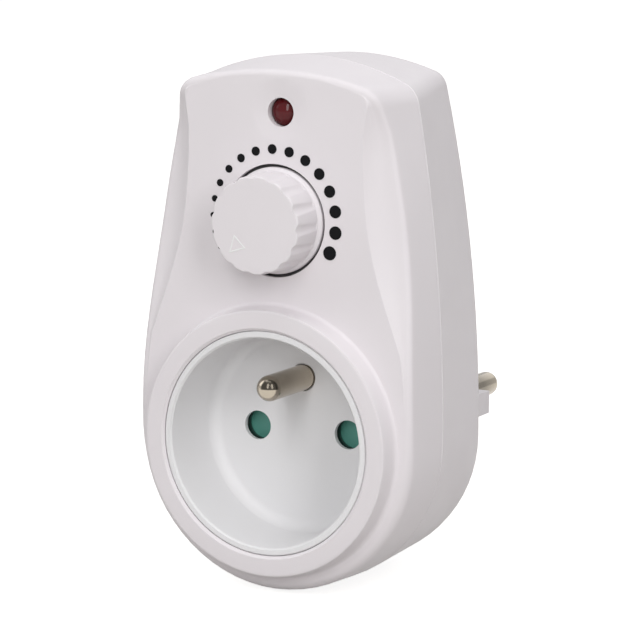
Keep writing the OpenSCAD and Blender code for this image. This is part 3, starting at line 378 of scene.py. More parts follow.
metal("tinned", tone(0.6, 0.6, 0.61), (600.0, 4200.0, 600.0), drift=0.08, smooth=0.25, rough=0.45)
metal("pot_metal", tone(0.46, 0.46, 0.48), (3800.0, 300.0, 300.0), drift=0.08, smooth=0.25, rough=0.4)
metal("sink_aluminium", tone(0.66, 0.67, 0.69), (300.0, 300.0, 4800.0), drift=0.06, smooth=0.3, rough=0.45)
metal("copper_wire", tone(0.5, 0.2, 0.07), (2500.0, 2500.0, 2500.0), drift=0.12, smooth=0.15, rough=0.28,
      Coat_Weight=0.5)
print("finishes:", len(paints))

# %% Shade in narrow gaps
gap, g_in, g_out = effect_group(
    "gap_shade",
    [("Color", COLOR, (0.7, 0.7, 0.7, 1)), ("Centre", VECTOR, (0.0, 0.0, 0.0)), ("Radius", FLOAT, 0.01),
     ("Depth", FLOAT, 0.001), ("Reach", FLOAT, 0.003), ("Shade", FLOAT, 0.1)],
    [("Color", COLOR)])
g_from = add_node(gap, "ShaderNodeVectorMath", operation="SUBTRACT")
feed(gap, g_from.inputs[0], add_node(gap, "ShaderNodeTexCoord").outputs["Object"])
feed(gap, g_from.inputs[1], g_in["Centre"])
g_part = add_node(gap, "ShaderNodeSeparateXYZ")
feed(gap, g_part.inputs[0], g_from.outputs[0])
g_flat = math_of(gap, "SQRT", math_of(gap, "ADD", math_of(gap, "POWER", g_part.outputs["X"], 2.0),
                                      math_of(gap, "POWER", g_part.outputs["Z"], 2.0)))
g_inside = math_of(gap, "MULTIPLY", math_of(gap, "LESS_THAN", g_flat, g_in["Radius"]),
                   math_of(gap, "LESS_THAN", g_part.outputs["Y"], g_in["Reach"]))
g_share = add_node(gap, "ShaderNodeMath", operation="DIVIDE", use_clamp=True)
feed(gap, g_share.inputs[0], g_part.outputs["Y"])
feed(gap, g_share.inputs[1], g_in["Depth"])
g_deep = math_of(gap, "MULTIPLY", g_inside, g_share.outputs[0])
feed(gap, g_out["Color"], tinted(gap, g_in["Color"], span_of(gap, g_deep, 1.0, g_in["Shade"], 0.0, 1.0)))


def tint_before(finish, group, **values):
    """Puts a group between a finish's colour and its shader."""
    tree = paints[finish].node_tree
    socket = tree.nodes["Principled BSDF"].inputs["Base Color"]
    effect = add_node(tree, "ShaderNodeGroup", node_tree=group)
    for label, value in values.items():
        effect.inputs[label].default_value = value
    feed(tree, effect.inputs["Color"], socket.links[0].from_socket)
    feed(tree, socket, effect.outputs["Color"])


# Painted shade: the case plastic darkens more than 0.7 mm deep in the gap round the dial knob, on recess and skirt.
tint_before("case_plastic", gap, Centre=(0.0, FRONT + 0.7 * MM, DIAL_Z * MM), Radius=10.5 * MM, Depth=0.7 * MM,
            Shade=0.12)
# Painted dark reflection on both plug pins, darkening towards the case.
for pin_x in (-PIN_X, PIN_X):
    tint_before("nickel", gap, Centre=(pin_x * MM, 17.0 * MM, 0.0), Radius=3.0 * MM, Depth=-6.0 * MM, Shade=0.5)
# Painted light on the earth pin's foot, standing in for light from the white cup.
tint_before("nickel", gap, Centre=(0.0, FRONT + 2.0 * MM, EARTH_Z * MM), Radius=3.0 * MM, Depth=10.0 * MM,
            Reach=14.0 * MM, Shade=1.4)
# Painted shade on the shutter in front of its pockets' floors, round the rims seen through the holes.
tint_before("shutter_green", gap, Centre=(0.0, FRONT + 14.75 * MM, 0.0), Radius=1.0, Depth=-0.5 * MM, Shade=0.1)
print("group", gap.name, "nodes", len(gap.nodes))

# %% Painted dark reflection on a polished tip
room, r_in, r_out = effect_group(
    "room_mirror",
    [("Color", COLOR, (0.5, 0.5, 0.5, 1)), ("Centre", VECTOR, (0.0, 0.0, 0.0)), ("Radius", FLOAT, 0.0024),
     ("Towards", VECTOR, (0.46, -0.87, 0.165)), ("Shade", FLOAT, 0.2)],
    [("Color", COLOR)])
r_from = add_node(room, "ShaderNodeVectorMath", operation="SUBTRACT")
feed(room, r_from.inputs[0], add_node(room, "ShaderNodeTexCoord").outputs["Object"])
feed(room, r_from.inputs[1], r_in["Centre"])
r_part = add_node(room, "ShaderNodeSeparateXYZ")
feed(room, r_part.inputs[0], r_from.outputs[0])
r_dot = add_node(room, "ShaderNodeVectorMath", operation="DOT_PRODUCT")
feed(room, r_dot.inputs[0], r_from.outputs[0])
feed(room, r_dot.inputs[1], r_in["Towards"])
r_up = span_of(room, math_of(room, "DIVIDE", r_part.outputs["Z"], r_in["Radius"]), 0.0, 1.0, 0.0, 0.06)
r_near = span_of(room, math_of(room, "DIVIDE", r_dot.outputs["Value"], r_in["Radius"]), 0.0, 1.0, 0.7, 0.8)
r_mask = math_of(room, "MULTIPLY", r_up, r_near)
feed(room, r_out["Color"], tinted(room, r_in["Color"], span_of(room, r_mask, 1.0, r_in["Shade"], 0.0, 1.0)))
# Painted dark reflection on the upper front of the earth pin's ball tip.
tint_before("nickel", room, Centre=(0.0, FRONT - 1.3 * MM, EARTH_Z * MM), Radius=2.4 * MM, Shade=0.18)
print("group", room.name, "nodes", len(room.nodes))


# %% [markdown]
# ## Finishes with a pattern of their own
# Three finishes have marks that follow the piece itself: the woven glass under the green lacquer of the circuit
# board, the colour rings on the resistors and the bead of the trigger diode. Waves and ramps on object
# coordinates draw them, because those places are fixed by the solids.

# %% Board, bands, beads and glass
def own_finish(name, roughness):
    material = bpy.data.materials.new(name)
    material.use_nodes = True
    tree = material.node_tree
    shader = tree.nodes["Principled BSDF"]
    shader.inputs["Roughness"].default_value = roughness
    place = add_node(tree, "ShaderNodeTexCoord").outputs["Object"]
    paints[name] = material
    return tree, shader, place


def ramp_of(tree, value, stops, sharp=False):
    node = add_node(tree, "ShaderNodeValToRGB")
    node.color_ramp.interpolation = "CONSTANT" if sharp else "LINEAR"
    marks = node.color_ramp.elements
    while len(marks) < len(stops):
        marks.new(1.0)
    for mark, (at, color) in zip(marks, stops):
        mark.position = at
        mark.color = color
    feed(tree, node.inputs["Fac"], value)
    return node.outputs["Color"]


tree, shader, place = own_finish("board_laminate", 0.35)
weave_x = add_node(tree, "ShaderNodeTexWave", bands_direction="X")
weave_z = add_node(tree, "ShaderNodeTexWave", bands_direction="Z")
for weave in (weave_x, weave_z):
    feed(tree, weave.inputs["Vector"], place)
    weave.inputs["Scale"].default_value = 620.0
    weave.inputs["Distortion"].default_value = 0.6
weave_sum = math_of(tree, "MULTIPLY", math_of(tree, "ADD", weave_x.outputs["Fac"], weave_z.outputs["Fac"]), 0.5)
feed(tree, shader.inputs["Base Color"],
     ramp_of(tree, weave_sum, [(0.0, tone(0.012, 0.075, 0.025)), (1.0, tone(0.03, 0.13, 0.05))]))
feed(tree, shader.inputs["Roughness"], span_of(tree, noise_of(tree, place, 400.0), 0.28, 0.45))

tree, shader, place = own_finish("resistor_tan", 0.4)
along = add_node(tree, "ShaderNodeSeparateXYZ")
feed(tree, along.inputs[0], place)
ring = math_of(tree, "FRACT", math_of(tree, "MULTIPLY", along.outputs["X"], 1 / (9 * MM)))
tan, brown, dark, red = tone(0.5, 0.34, 0.2), tone(0.12, 0.04, 0.015), tone(0.02, 0.02, 0.02), tone(0.4, 0.02, 0.02)
feed(tree, shader.inputs["Base Color"],
     ramp_of(tree, ring, [(0.0, tan), (0.2, brown), (0.28, tan), (0.4, dark), (0.48, tan), (0.6, red),
                          (0.68, tan)], sharp=True))
feed(tree, shader.inputs["Roughness"], span_of(tree, noise_of(tree, place, 900.0), 0.3, 0.5))

for name, color in (("diac_glass", (tone(0.35, 0.08, 0.02), tone(0.55, 0.16, 0.05))),
                    ("clear_glass", (tone(0.78, 0.84, 0.83), tone(0.86, 0.9, 0.9)))):
    tree, shader, place = own_finish(name, 0.06)
    feed(tree, shader.inputs["Base Color"],
         ramp_of(tree, noise_of(tree, place, 260.0, 3.0), [(0.3, color[0]), (0.7, color[1])]))
    feed(tree, shader.inputs["Roughness"], span_of(tree, noise_of(tree, place, 700.0), 0.03, 0.12))
    shader.inputs["Transmission Weight"].default_value = 0.85
    shader.inputs["IOR"].default_value = 1.5

tree, shader, place = own_finish("lamp_red", 0.08)
depth = add_node(tree, "ShaderNodeSeparateXYZ")
feed(tree, depth.inputs[0], place)
deep = span_of(tree, depth.outputs["Y"], 0.0, 0.75, FRONT + 0.6 * MM, FRONT + 1.9 * MM)
cloud = math_of(tree, "ADD", math_of(tree, "MULTIPLY", noise_of(tree, place, 500.0, 3.0), 0.25), deep)
feed(tree, shader.inputs["Base Color"],
     ramp_of(tree, cloud, [(0.0, tone(0.1, 0.006, 0.009)), (0.6, tone(0.075, 0.004, 0.006)),
                           (1.0, tone(0.03, 0.003, 0.004))]))
feed(tree, shader.inputs["Roughness"], span_of(tree, noise_of(tree, place, 900.0), 0.03, 0.07))
shader.inputs["Specular IOR Level"].default_value = 0.22
print("all finishes:", len(paints))


# %% [markdown]
# ## Skins over the solids
# The covers, the socket cup, the pins and the shutter are right as solids, but they arrive as loose triangles
# that shade flat. A skin is a copy with its doubles merged, its curved parts shaded smooth and its creases kept.
# Normals weighted by face area keep the wide flat faces flat right up to the rounded edges.

# %% Make a skin
def freeze(piece):
    """Turns what the modifiers make into a plain mesh."""
    bpy.context.view_layer.update()
    found = piece.evaluated_get(bpy.context.evaluated_depsgraph_get())
    mesh = bpy.data.meshes.new_from_object(found)
    piece.modifiers.clear()
    piece.data = mesh
    mesh.name = piece.name
    return piece


def smooth(piece, crease):
    piece.data.shade_smooth()
    piece.data.set_sharp_from_angle(angle=math.radians(crease))
    weigh = piece.modifiers.new("weigh", "WEIGHTED_NORMAL")
    weigh.keep_sharp = True
    weigh.weight = 80
    return freeze(piece)


def show(piece, body, slot, *replaced):
    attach(piece, body)
    if replaced:
        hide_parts(*replaced)
    return piece


def new_piece(name, mesh, finish):
    piece = bpy.data.objects.new(name, mesh)
    mesh.materials.clear()
    mesh.materials.append(paints[finish])
    bpy.context.scene.collection.objects.link(piece)
    return piece


def skin(node, body, finish, crease=28):
    form = bmesh.new()
    form.from_mesh(nodes[node].data)
    bmesh.ops.remove_doubles(form, verts=form.verts, dist=1e-6)
    mesh = bpy.data.meshes.new(node + "_skin")
    form.to_mesh(mesh)
    form.free()
    for extra in [a.name for a in mesh.attributes if a.name == "custom_normal"]:
        mesh.attributes.remove(mesh.attributes[extra])
    piece = smooth(new_piece(node + "_skin", mesh, finish), crease)
    print(piece.name, len(piece.data.polygons), "faces")
    return show(piece, body, finish, node)


skin("front_cover", "housing", "case_plastic", 40)
skin("rear_cover", "housing", "case_plastic")
skin("socket_insert", "housing", "socket_plastic")
for pin in ("earth_pin", "live_pin", "neutral_pin"):
    skin(pin, "housing", "nickel")
skin("shutter", "shutter", "shutter_green")


# %% [markdown]
# ## Geometry Nodes helpers
# Dots, flutes, screws and coils repeat by a rule, so each is a small node tree with named sizes. A tree ends in
# Realize Instances and Set Material, and the result is frozen to a plain mesh, so it can be exported.

# %% Trees and their inputs
def shape_tree(name, inputs):
    tree = bpy.data.node_groups.new(name, "GeometryNodeTree")
    tree.interface.new_socket(name="Geometry", in_out="INPUT", socket_type="NodeSocketGeometry")
    for label, kind in inputs:
        tree.interface.new_socket(name=label, in_out="INPUT", socket_type=kind)
    tree.interface.new_socket(name="Geometry", in_out="OUTPUT", socket_type="NodeSocketGeometry")
    return tree, tree.nodes.new("NodeGroupInput").outputs


def close_tree(tree, geometry, material_socket):
    real = add_node(tree, "GeometryNodeRealizeInstances")
    dress = add_node(tree, "GeometryNodeSetMaterial")
    feed(tree, real.inputs[0], geometry)
    feed(tree, dress.inputs["Geometry"], real.outputs[0])
    feed(tree, dress.inputs["Material"], material_socket)
    feed(tree, tree.nodes.new("NodeGroupOutput").inputs["Geometry"], dress.outputs[0])


def grow(name, tree, values, base=None):
    """Runs a tree on an object and freezes what it makes."""
    piece = bpy.data.objects.new(name, base or bpy.data.meshes.new(name))
    bpy.context.scene.collection.objects.link(piece)
    maker = piece.modifiers.new("maker", "NODES")
    maker.node_group = tree
    for item in tree.interface.items_tree:
        if item.in_out == "INPUT" and item.name in values:
            maker[item.identifier] = values[item.name]
    freeze(piece)
    print(piece.name, len(piece.data.polygons), "faces")
    return piece


def vector_of(tree, x, y, z):
    node = add_node(tree, "ShaderNodeCombineXYZ")
    for socket, value in zip(node.inputs, (x, y, z)):
        feed(tree, socket, value)
    return node.outputs[0]


INT, MATERIAL = "NodeSocketInt", "NodeSocketMaterial"

# %% [markdown]
# ## The ring of dots
# Pad-printed dots round the dial say which way is brighter: each is a little larger than the one before, and a
# little further from it. They could be sixteen meshes, but their places and sizes follow one rule, so a tree
# counts points, bends them round the dial and puts a thin disc on each.

# %% Print the dots
dots_tree, g = shape_tree("growing_dots", [
    ("Count", INT), ("Ring Radius", FLOAT), ("First Angle", FLOAT), ("Step", FLOAT), ("Step Widen", FLOAT),
    ("First Radius", FLOAT), ("Radius Widen", FLOAT), ("Ink", FLOAT), ("Centre", VECTOR), ("Material", MATERIAL)])
k = add_node(dots_tree, "GeometryNodeInputIndex").outputs[0]
pairs = math_of(dots_tree, "MULTIPLY", math_of(
    dots_tree, "MULTIPLY", k, math_of(dots_tree, "SUBTRACT", k, 1.0)), 0.5)
turn = math_of(dots_tree, "ADD", g["First Angle"], math_of(
    dots_tree, "ADD", math_of(dots_tree, "MULTIPLY", g["Step"], k),
    math_of(dots_tree, "MULTIPLY", g["Step Widen"], pairs)))
spot = vector_of(dots_tree,
                 math_of(dots_tree, "MULTIPLY", g["Ring Radius"], math_of(dots_tree, "SINE", turn)), 0.0,
                 math_of(dots_tree, "MULTIPLY", g["Ring Radius"], math_of(dots_tree, "COSINE", turn)))
centred = add_node(dots_tree, "ShaderNodeVectorMath", operation="ADD")
feed(dots_tree, centred.inputs[0], spot)
feed(dots_tree, centred.inputs[1], g["Centre"])
row = add_node(dots_tree, "GeometryNodePoints")
feed(dots_tree, row.inputs["Count"], g["Count"])
feed(dots_tree, row.inputs["Position"], centred.outputs[0])
disc = add_node(dots_tree, "GeometryNodeMeshCylinder")
disc.inputs["Vertices"].default_value = 48
disc.inputs["Radius"].default_value = 1.0
disc.inputs["Depth"].default_value = 1.0
wide = math_of(dots_tree, "ADD", g["First Radius"], math_of(dots_tree, "MULTIPLY", g["Radius Widen"], k))
printed = add_node(dots_tree, "GeometryNodeInstanceOnPoints")
feed(dots_tree, printed.inputs["Points"], row.outputs[0])
feed(dots_tree, printed.inputs["Instance"], disc.outputs["Mesh"])
printed.inputs["Rotation"].default_value = (math.radians(90), 0, 0)
feed(dots_tree, printed.inputs["Scale"], vector_of(dots_tree, wide, wide, g["Ink"]))
close_tree(dots_tree, printed.outputs[0], g["Material"])

INK = 0.08 * MM
dots = grow("dial_dots_print", dots_tree, {
    "Count": 16, "Ring Radius": 12.7 * MM, "First Angle": math.radians(-118), "Step": math.radians(13.4),
    "Step Widen": math.radians(0.31), "First Radius": 0.44 * MM, "Radius Widen": 0.0565 * MM, "Ink": INK,
    "Centre": (0.0, FRONT - INK / 2, (DIAL_Z + 0.4) * MM), "Material": paints["dot_ink"]})
show(dots, "housing", "dot_ink", "dial_dots")


# %% [markdown]
# ## The dial knob
# The knob is a turned form with shallow flutes round its grip, so that a finger can roll it. It could be a lathe
# with boolean cuts, but one rule gives it: a profile spun round the shaft, drawn in wherever a round flute comes
# closer to the axis than the profile does. The base mesh is only the profile; the tree spins and flutes it.

# %% Draw the profile
def round_corner(r, y, size, steps):
    """A quarter round from the knob's face to its side, as [radius, depth]."""
    return [(r + size * math.sin(math.pi / 2 * i / steps), y + size * (1 - math.cos(math.pi / 2 * i / steps)))
            for i in range(steps + 1)]


FACE, GRIP_END, FLUTE_END = -7.5, -0.4, -0.7
FACE_R, SKIRT_R = 8.95, 9.15
FLUTES, FLUTE_R = 15, 1.6
FLUTE_FACE_R, FLUTE_SKIRT_R = 8.5, 9.0
POINTER, POINTER_TIP, POINTER_BASE, POINTER_LENGTH = -136, 7.6, 3.6, 3.4


def between(y, at_face, at_skirt):
    """A size that changes evenly along the grip."""
    return at_face + (at_skirt - at_face) * (y - FACE) / (GRIP_END - FACE)


grip_rows = [FACE + 0.5 + (FLUTE_END - FACE - 0.5) * i / 12 for i in range(13)]
profile = [(r, FACE) for r in (0.0, 2.5, 5.0, 7.0, 7.9)] + round_corner(FACE_R - 0.32, FACE, 0.32, 6)
profile += [(between(y, FACE_R, SKIRT_R), y) for y in grip_rows]
profile += [(SKIRT_R - 0.01, FLUTE_END + 0.03), (SKIRT_R, GRIP_END - 0.06), (9.19, -0.37)]
profile += [(9.3, -0.25), (9.5, -0.05), (9.66, 0.11), (9.75, 0.2), (9.79, 0.3), (9.8, 0.42)]
profile += [(9.8, 1.0), (9.8, 1.42), (9.72, 1.5)]
profile += [(7.35, 1.5), (7.35, -1.6), (4.4, -1.6), (4.4, -0.9), (3.05, -0.9), (3.05, -5.7), (0.0, -5.7)]
line = bpy.data.meshes.new("knob_profile")
line.from_pydata([(r * MM, y * MM, 0) for r, y in profile], [(i, i + 1) for i in range(len(profile) - 1)], [])
scooped = line.attributes.new("flute_floor", "FLOAT", "POINT")
NO_FLUTE = 1.0
scooped.data.foreach_set("value", [
    between(y, FLUTE_FACE_R, FLUTE_SKIRT_R) * MM if y <= FLUTE_END and r > 5 else NO_FLUTE for r, y in profile])
print("profile points:", len(profile))

# %% Spin and flute it
knob_tree, g = shape_tree("fluted_knob", [
    ("Rows", INT), ("Around", INT), ("Flutes", INT), ("Flute Radius", FLOAT), ("First Ridge", FLOAT),
    ("Soft", FLOAT), ("Centre", VECTOR), ("Material", MATERIAL)])
t = knob_tree
sheet = add_node(t, "GeometryNodeMeshGrid")
feed(t, sheet.inputs["Vertices X"], g["Rows"])
feed(t, sheet.inputs["Vertices Y"], g["Around"])
index = add_node(t, "GeometryNodeInputIndex").outputs[0]
row_of = math_of(t, "FLOOR", math_of(t, "DIVIDE", math_of(t, "ADD", index, 0.25), g["Around"]))
step_of = math_of(t, "SUBTRACT", index, math_of(t, "MULTIPLY", row_of, g["Around"]))
swing = math_of(t, "MULTIPLY", math_of(t, "DIVIDE", step_of, math_of(t, "SUBTRACT", g["Around"], 1.0)), math.tau)
angle = math_of(t, "ADD", swing, g["First Ridge"])


def sampled(kind, value):
    node = add_node(t, "GeometryNodeSampleIndex", data_type=kind, domain="POINT")
    feed(t, node.inputs["Geometry"], g["Geometry"])
    feed(t, node.inputs["Value"], value)
    feed(t, node.inputs["Index"], row_of)
    return node.outputs["Value"]


spot = add_node(t, "ShaderNodeSeparateXYZ")
feed(t, spot.inputs[0], sampled("FLOAT_VECTOR", add_node(t, "GeometryNodeInputPosition").outputs[0]))
floor_name = add_node(t, "GeometryNodeInputNamedAttribute", data_type="FLOAT")
floor_name.inputs["Name"].default_value = "flute_floor"
flute_floor = sampled("FLOAT", floor_name.outputs["Attribute"])
pitch = math_of(t, "DIVIDE", math.tau, g["Flutes"])
off = math_of(t, "SUBTRACT", math_of(t, "MODULO", swing, pitch), math_of(t, "MULTIPLY", pitch, 0.5))
middle_r = math_of(t, "ADD", flute_floor, g["Flute Radius"])
side = math_of(t, "MULTIPLY", middle_r, math_of(t, "SINE", off))
left_over = math_of(t, "SUBTRACT", math_of(t, "MULTIPLY", g["Flute Radius"], g["Flute Radius"]),
                    math_of(t, "MULTIPLY", side, side))
cut = math_of(t, "SUBTRACT", math_of(t, "MULTIPLY", middle_r, math_of(t, "COSINE", off)),
              math_of(t, "SQRT", math_of(t, "MAXIMUM", left_over, 0.0)))
drawn_in = math_of(t, "SMOOTH_MIN", spot.outputs["X"], cut, g["Soft"])
radius = math_of(t, "MAXIMUM", drawn_in, 0.0)
round_place = vector_of(t, math_of(t, "MULTIPLY", radius, math_of(t, "COSINE", angle)), spot.outputs["Y"],
                        math_of(t, "MULTIPLY", radius, math_of(t, "SINE", angle)))
final = add_node(t, "ShaderNodeVectorMath", operation="ADD")
feed(t, final.inputs[0], round_place)
feed(t, final.inputs[1], g["Centre"])
shaped = add_node(t, "GeometryNodeSetPosition")
feed(t, shaped.inputs["Geometry"], sheet.outputs["Mesh"])
feed(t, shaped.inputs["Position"], final.outputs[0])
closed = add_node(t, "GeometryNodeMergeByDistance")
feed(t, closed.inputs["Geometry"], shaped.outputs[0])
closed.inputs["Distance"].default_value = 2e-6
close_tree(t, closed.outputs[0], g["Material"])

knob = grow("dial_knob", knob_tree, {
    "Rows": len(profile), "Around": FLUTES * 20 + 1, "Flutes": FLUTES, "Flute Radius": FLUTE_R * MM,
    "First Ridge": math.radians(90 - POINTER), "Soft": 0.15 * MM, "Centre": (0.0, FRONT, DIAL_Z * MM),
    "Material": paints["case_plastic"]}, line)


# %% [markdown]
# ## The pointer on the knob
# A fine raised triangle on the knob's face shows where the dial stands. It is a moulded line, so it gets sloping
# flanks that catch the light, and it is joined to the knob's mesh because the two are one moulding.

# %% Raise the triangle and join it
def ring_of(tip, base, length, inset, height):
    """Three corners of the triangle, drawn in by an inset, at a height above the face."""
    inner = base * length / (base + 2 * math.hypot(base / 2, length))
    share = 1 - inset / inner
    centre = tip - length + inner
    turned = math.radians(POINTER)
    corners = []
    for x, z in ((0, tip), (base / 2, tip - length), (-base / 2, tip - length)):
        x, z = x * share, centre + (z - centre) * share
        corners.append((
            (x * math.cos(turned) + z * math.sin(turned)) * MM,
            FRONT + (FACE - height) * MM,
            (DIAL_Z - x * math.sin(turned) + z * math.cos(turned)) * MM))
    return corners


form = bmesh.new()
form.from_mesh(knob.data)
bands = [[form.verts.new(p) for p in ring_of(POINTER_TIP, POINTER_BASE, POINTER_LENGTH, inset, height)]
         for inset, height in ((0, -0.05), (0.15, 0.05), (0.25, 0.05), (0.4, -0.05))]
for outer, inner in zip(bands, bands[1:] + bands[:1]):
    for i in range(3):
        form.faces.new((outer[i], outer[(i + 1) % 3], inner[(i + 1) % 3], inner[i]))
bmesh.ops.recalc_face_normals(form, faces=form.faces)
form.to_mesh(knob.data)
form.free()
smooth(knob, 32)
show(knob, "dial", "case_plastic", "knob")
print("knob with its pointer:", len(knob.data.polygons), "faces")


# %% [markdown]
# ## The indicator lamp
# A small dark red lens sits deep in a dished hole in the front. It is cast resin, so it is turned with a true dome
# and many steps, and its colour darkens towards the rim, which sits deepest in the hole.

# %% Turn the lens
def turned_piece(name, profile, centre, finish, steps=64, crease=30):
    """Spins a profile of [radius, depth] round an axis along Y."""
    form = bmesh.new()
    line = [form.verts.new((r * MM, y * MM, 0)) for r, y in profile]
    edges = [form.edges.new(pair) for pair in zip(line, line[1:])]
    bmesh.ops.spin(form, geom=line + edges, cent=(0, 0, 0), axis=(0, 1, 0), angle=math.tau, steps=steps)
    bmesh.ops.remove_doubles(form, verts=form.verts, dist=1e-7)
    bmesh.ops.recalc_face_normals(form, faces=form.faces)
    bmesh.ops.translate(form, verts=form.verts, vec=centre)
    mesh = bpy.data.meshes.new(name)
    form.to_mesh(mesh)
    form.free()
    piece = smooth(new_piece(name, mesh, finish), crease)
    print(name, len(piece.data.polygons), "faces")
    return piece


low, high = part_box("indicator_led")
LENS_R, LENS_RISE, LENS_TIP = 2.6, 1.2, (low[1] - FRONT) / MM
LENS_BACK = (high[1] - FRONT) / MM
BALL_R = (LENS_R ** 2 + LENS_RISE ** 2) / (2 * LENS_RISE)
widest = math.asin(LENS_R / BALL_R)
turns = [widest * i / 16 for i in range(17)]
dome = [(BALL_R * math.sin(turn), LENS_TIP + BALL_R * (1 - math.cos(turn))) for turn in turns]
lens = turned_piece(
    "indicator_lens",
    dome + [(LENS_R, LENS_BACK - 1.0), (LENS_R + 0.35, LENS_BACK - 1.0), (LENS_R + 0.35, LENS_BACK),
            (0, LENS_BACK)],
    (LENS_X * MM, FRONT, LENS_Z * MM), "lamp_red")
show(lens, "housing", "lamp_red", "indicator_led")


# %% [markdown]
# ## Screws
# Tapping screws with a domed head and a cross recess hold the case, the board, the contact carrier, the pins and
# the heat sink. All have the same form in other sizes, so one tree turns a sheet into head, thread and tip by a
# rule, cuts the cross and sets a copy on each place. The thread stays inside the shank of the solid.

# %% A tree for screws
screw_tree, g = shape_tree("cross_screws", [
    ("Rows", INT), ("Around", INT), ("Shank Radius", FLOAT), ("Length", FLOAT), ("Head Radius", FLOAT),
    ("Head Height", FLOAT), ("Pitch", FLOAT), ("Thread Depth", FLOAT), ("Turn", VECTOR), ("Material", MATERIAL)])
t = screw_tree


def part_of(value, start, end):
    """How much of a stretch of the profile has been passed, from zero to one."""
    node = add_node(t, "ShaderNodeMapRange")
    feed(t, node.inputs["Value"], value)
    node.inputs["From Min"].default_value = start
    node.inputs["From Max"].default_value = end
    return node.outputs["Result"]


sheet = add_node(t, "GeometryNodeMeshGrid")
feed(t, sheet.inputs["Vertices X"], g["Rows"])
feed(t, sheet.inputs["Vertices Y"], g["Around"])
index = add_node(t, "GeometryNodeInputIndex").outputs[0]
row_of = math_of(t, "FLOOR", math_of(t, "DIVIDE", math_of(t, "ADD", index, 0.25), g["Around"]))
step_of = math_of(t, "SUBTRACT", index, math_of(t, "MULTIPLY", row_of, g["Around"]))
swing = math_of(t, "DIVIDE", step_of, math_of(t, "SUBTRACT", g["Around"], 1.0))
passed = math_of(t, "DIVIDE", row_of, math_of(t, "SUBTRACT", g["Rows"], 1.0))
dome, under = part_of(passed, 0.0, 0.12), part_of(passed, 0.12, 0.15)
shank, point = part_of(passed, 0.15, 0.94), part_of(passed, 0.94, 1.0)
bow = math_of(t, "MULTIPLY", dome, math.pi / 2)
plain_r = math_of(t, "SUBTRACT", math_of(t, "MULTIPLY", g["Head Radius"], math_of(t, "SINE", bow)), math_of(
    t, "MULTIPLY", math_of(t, "SUBTRACT", g["Head Radius"], g["Shank Radius"]), under))
depth_at = math_of(t, "SUBTRACT", math_of(t, "MULTIPLY", g["Length"], math_of(
    t, "ADD", math_of(t, "MULTIPLY", shank, 0.92), math_of(t, "MULTIPLY", point, 0.08))),
    math_of(t, "MULTIPLY", g["Head Height"], math_of(t, "COSINE", bow)))
phase = math_of(t, "FRACT", math_of(t, "ADD", math_of(t, "DIVIDE", depth_at, g["Pitch"]), swing))
groove = math_of(t, "ABSOLUTE", math_of(t, "SUBTRACT", math_of(t, "MULTIPLY", phase, 2.0), 1.0))
threaded = math_of(t, "MULTIPLY", math_of(t, "MULTIPLY", part_of(shank, 0.02, 0.08), groove), g["Thread Depth"])
tapered = math_of(t, "MULTIPLY", math_of(t, "SUBTRACT", plain_r, threaded), math_of(t, "SUBTRACT", 1.0, point))
angle = math_of(t, "MULTIPLY", swing, math.tau)
shaped = add_node(t, "GeometryNodeSetPosition")
feed(t, shaped.inputs["Geometry"], sheet.outputs["Mesh"])
feed(t, shaped.inputs["Position"], vector_of(
    t, math_of(t, "MULTIPLY", tapered, math_of(t, "COSINE", angle)), depth_at,
    math_of(t, "MULTIPLY", tapered, math_of(t, "SINE", angle))))
closed = add_node(t, "GeometryNodeMergeByDistance")
feed(t, closed.inputs["Geometry"], shaped.outputs[0])
closed.inputs["Distance"].default_value = 2e-6
wide = math_of(t, "MULTIPLY", g["Head Radius"], 1.1)
narrow = math_of(t, "MULTIPLY", g["Head Radius"], 0.26)
cross = add_node(t, "GeometryNodeMeshBoolean", operation="DIFFERENCE", solver="MANIFOLD")
feed(t, cross.inputs["Mesh 1"], closed.outputs[0])
for size in (vector_of(t, wide, g["Head Height"], narrow), vector_of(t, narrow, g["Head Height"], wide)):
    bar = add_node(t, "GeometryNodeMeshCube")
    feed(t, bar.inputs["Size"], size)
    moved = add_node(t, "GeometryNodeTransform")
    feed(t, moved.inputs["Geometry"], bar.outputs["Mesh"])
    feed(t, moved.inputs["Translation"], vector_of(t, 0.0, math_of(t, "MULTIPLY", g["Head Height"], -0.9), 0.0))
    feed(t, cross.inputs["Mesh 2"], moved.outputs[0])
copies = add_node(t, "GeometryNodeInstanceOnPoints")
feed(t, copies.inputs["Points"], g["Geometry"])
feed(t, copies.inputs["Instance"], cross.outputs["Mesh"])
feed(t, copies.inputs["Rotation"], g["Turn"])
close_tree(t, copies.outputs[0], g["Material"])
print("tree", screw_tree.name, "nodes", len(screw_tree.nodes))


# %% Set the screws
def set_screws(node, places, seat, tip, shank_r, head_r, head_h, pitch):
    """Screws of one size, by the [x, z] of each and the depths of seat and tip behind the front face."""
    spots = bpy.data.meshes.new(node + "_places")
    spots.from_pydata([(x * MM, FRONT + seat * MM, z * MM) for x, z in places], [], [])
    length = abs(tip - seat)
    piece = grow(node + "_cut", screw_tree, {
        "Rows": int(length / pitch * 6) + 30, "Around": 25, "Shank Radius": shank_r * MM, "Length": length * MM,
        "Head Radius": head_r * MM, "Head Height": head_h * MM, "Pitch": pitch * MM,
        "Thread Depth": 0.22 * shank_r * MM,
        "Turn": (0.0, 0.0, 0.0) if tip > seat else (math.pi, 0.0, 0.0), "Material": paints["steel"]}, spots)
    smooth(piece, 35)
    return show(piece, "housing", "steel", node)


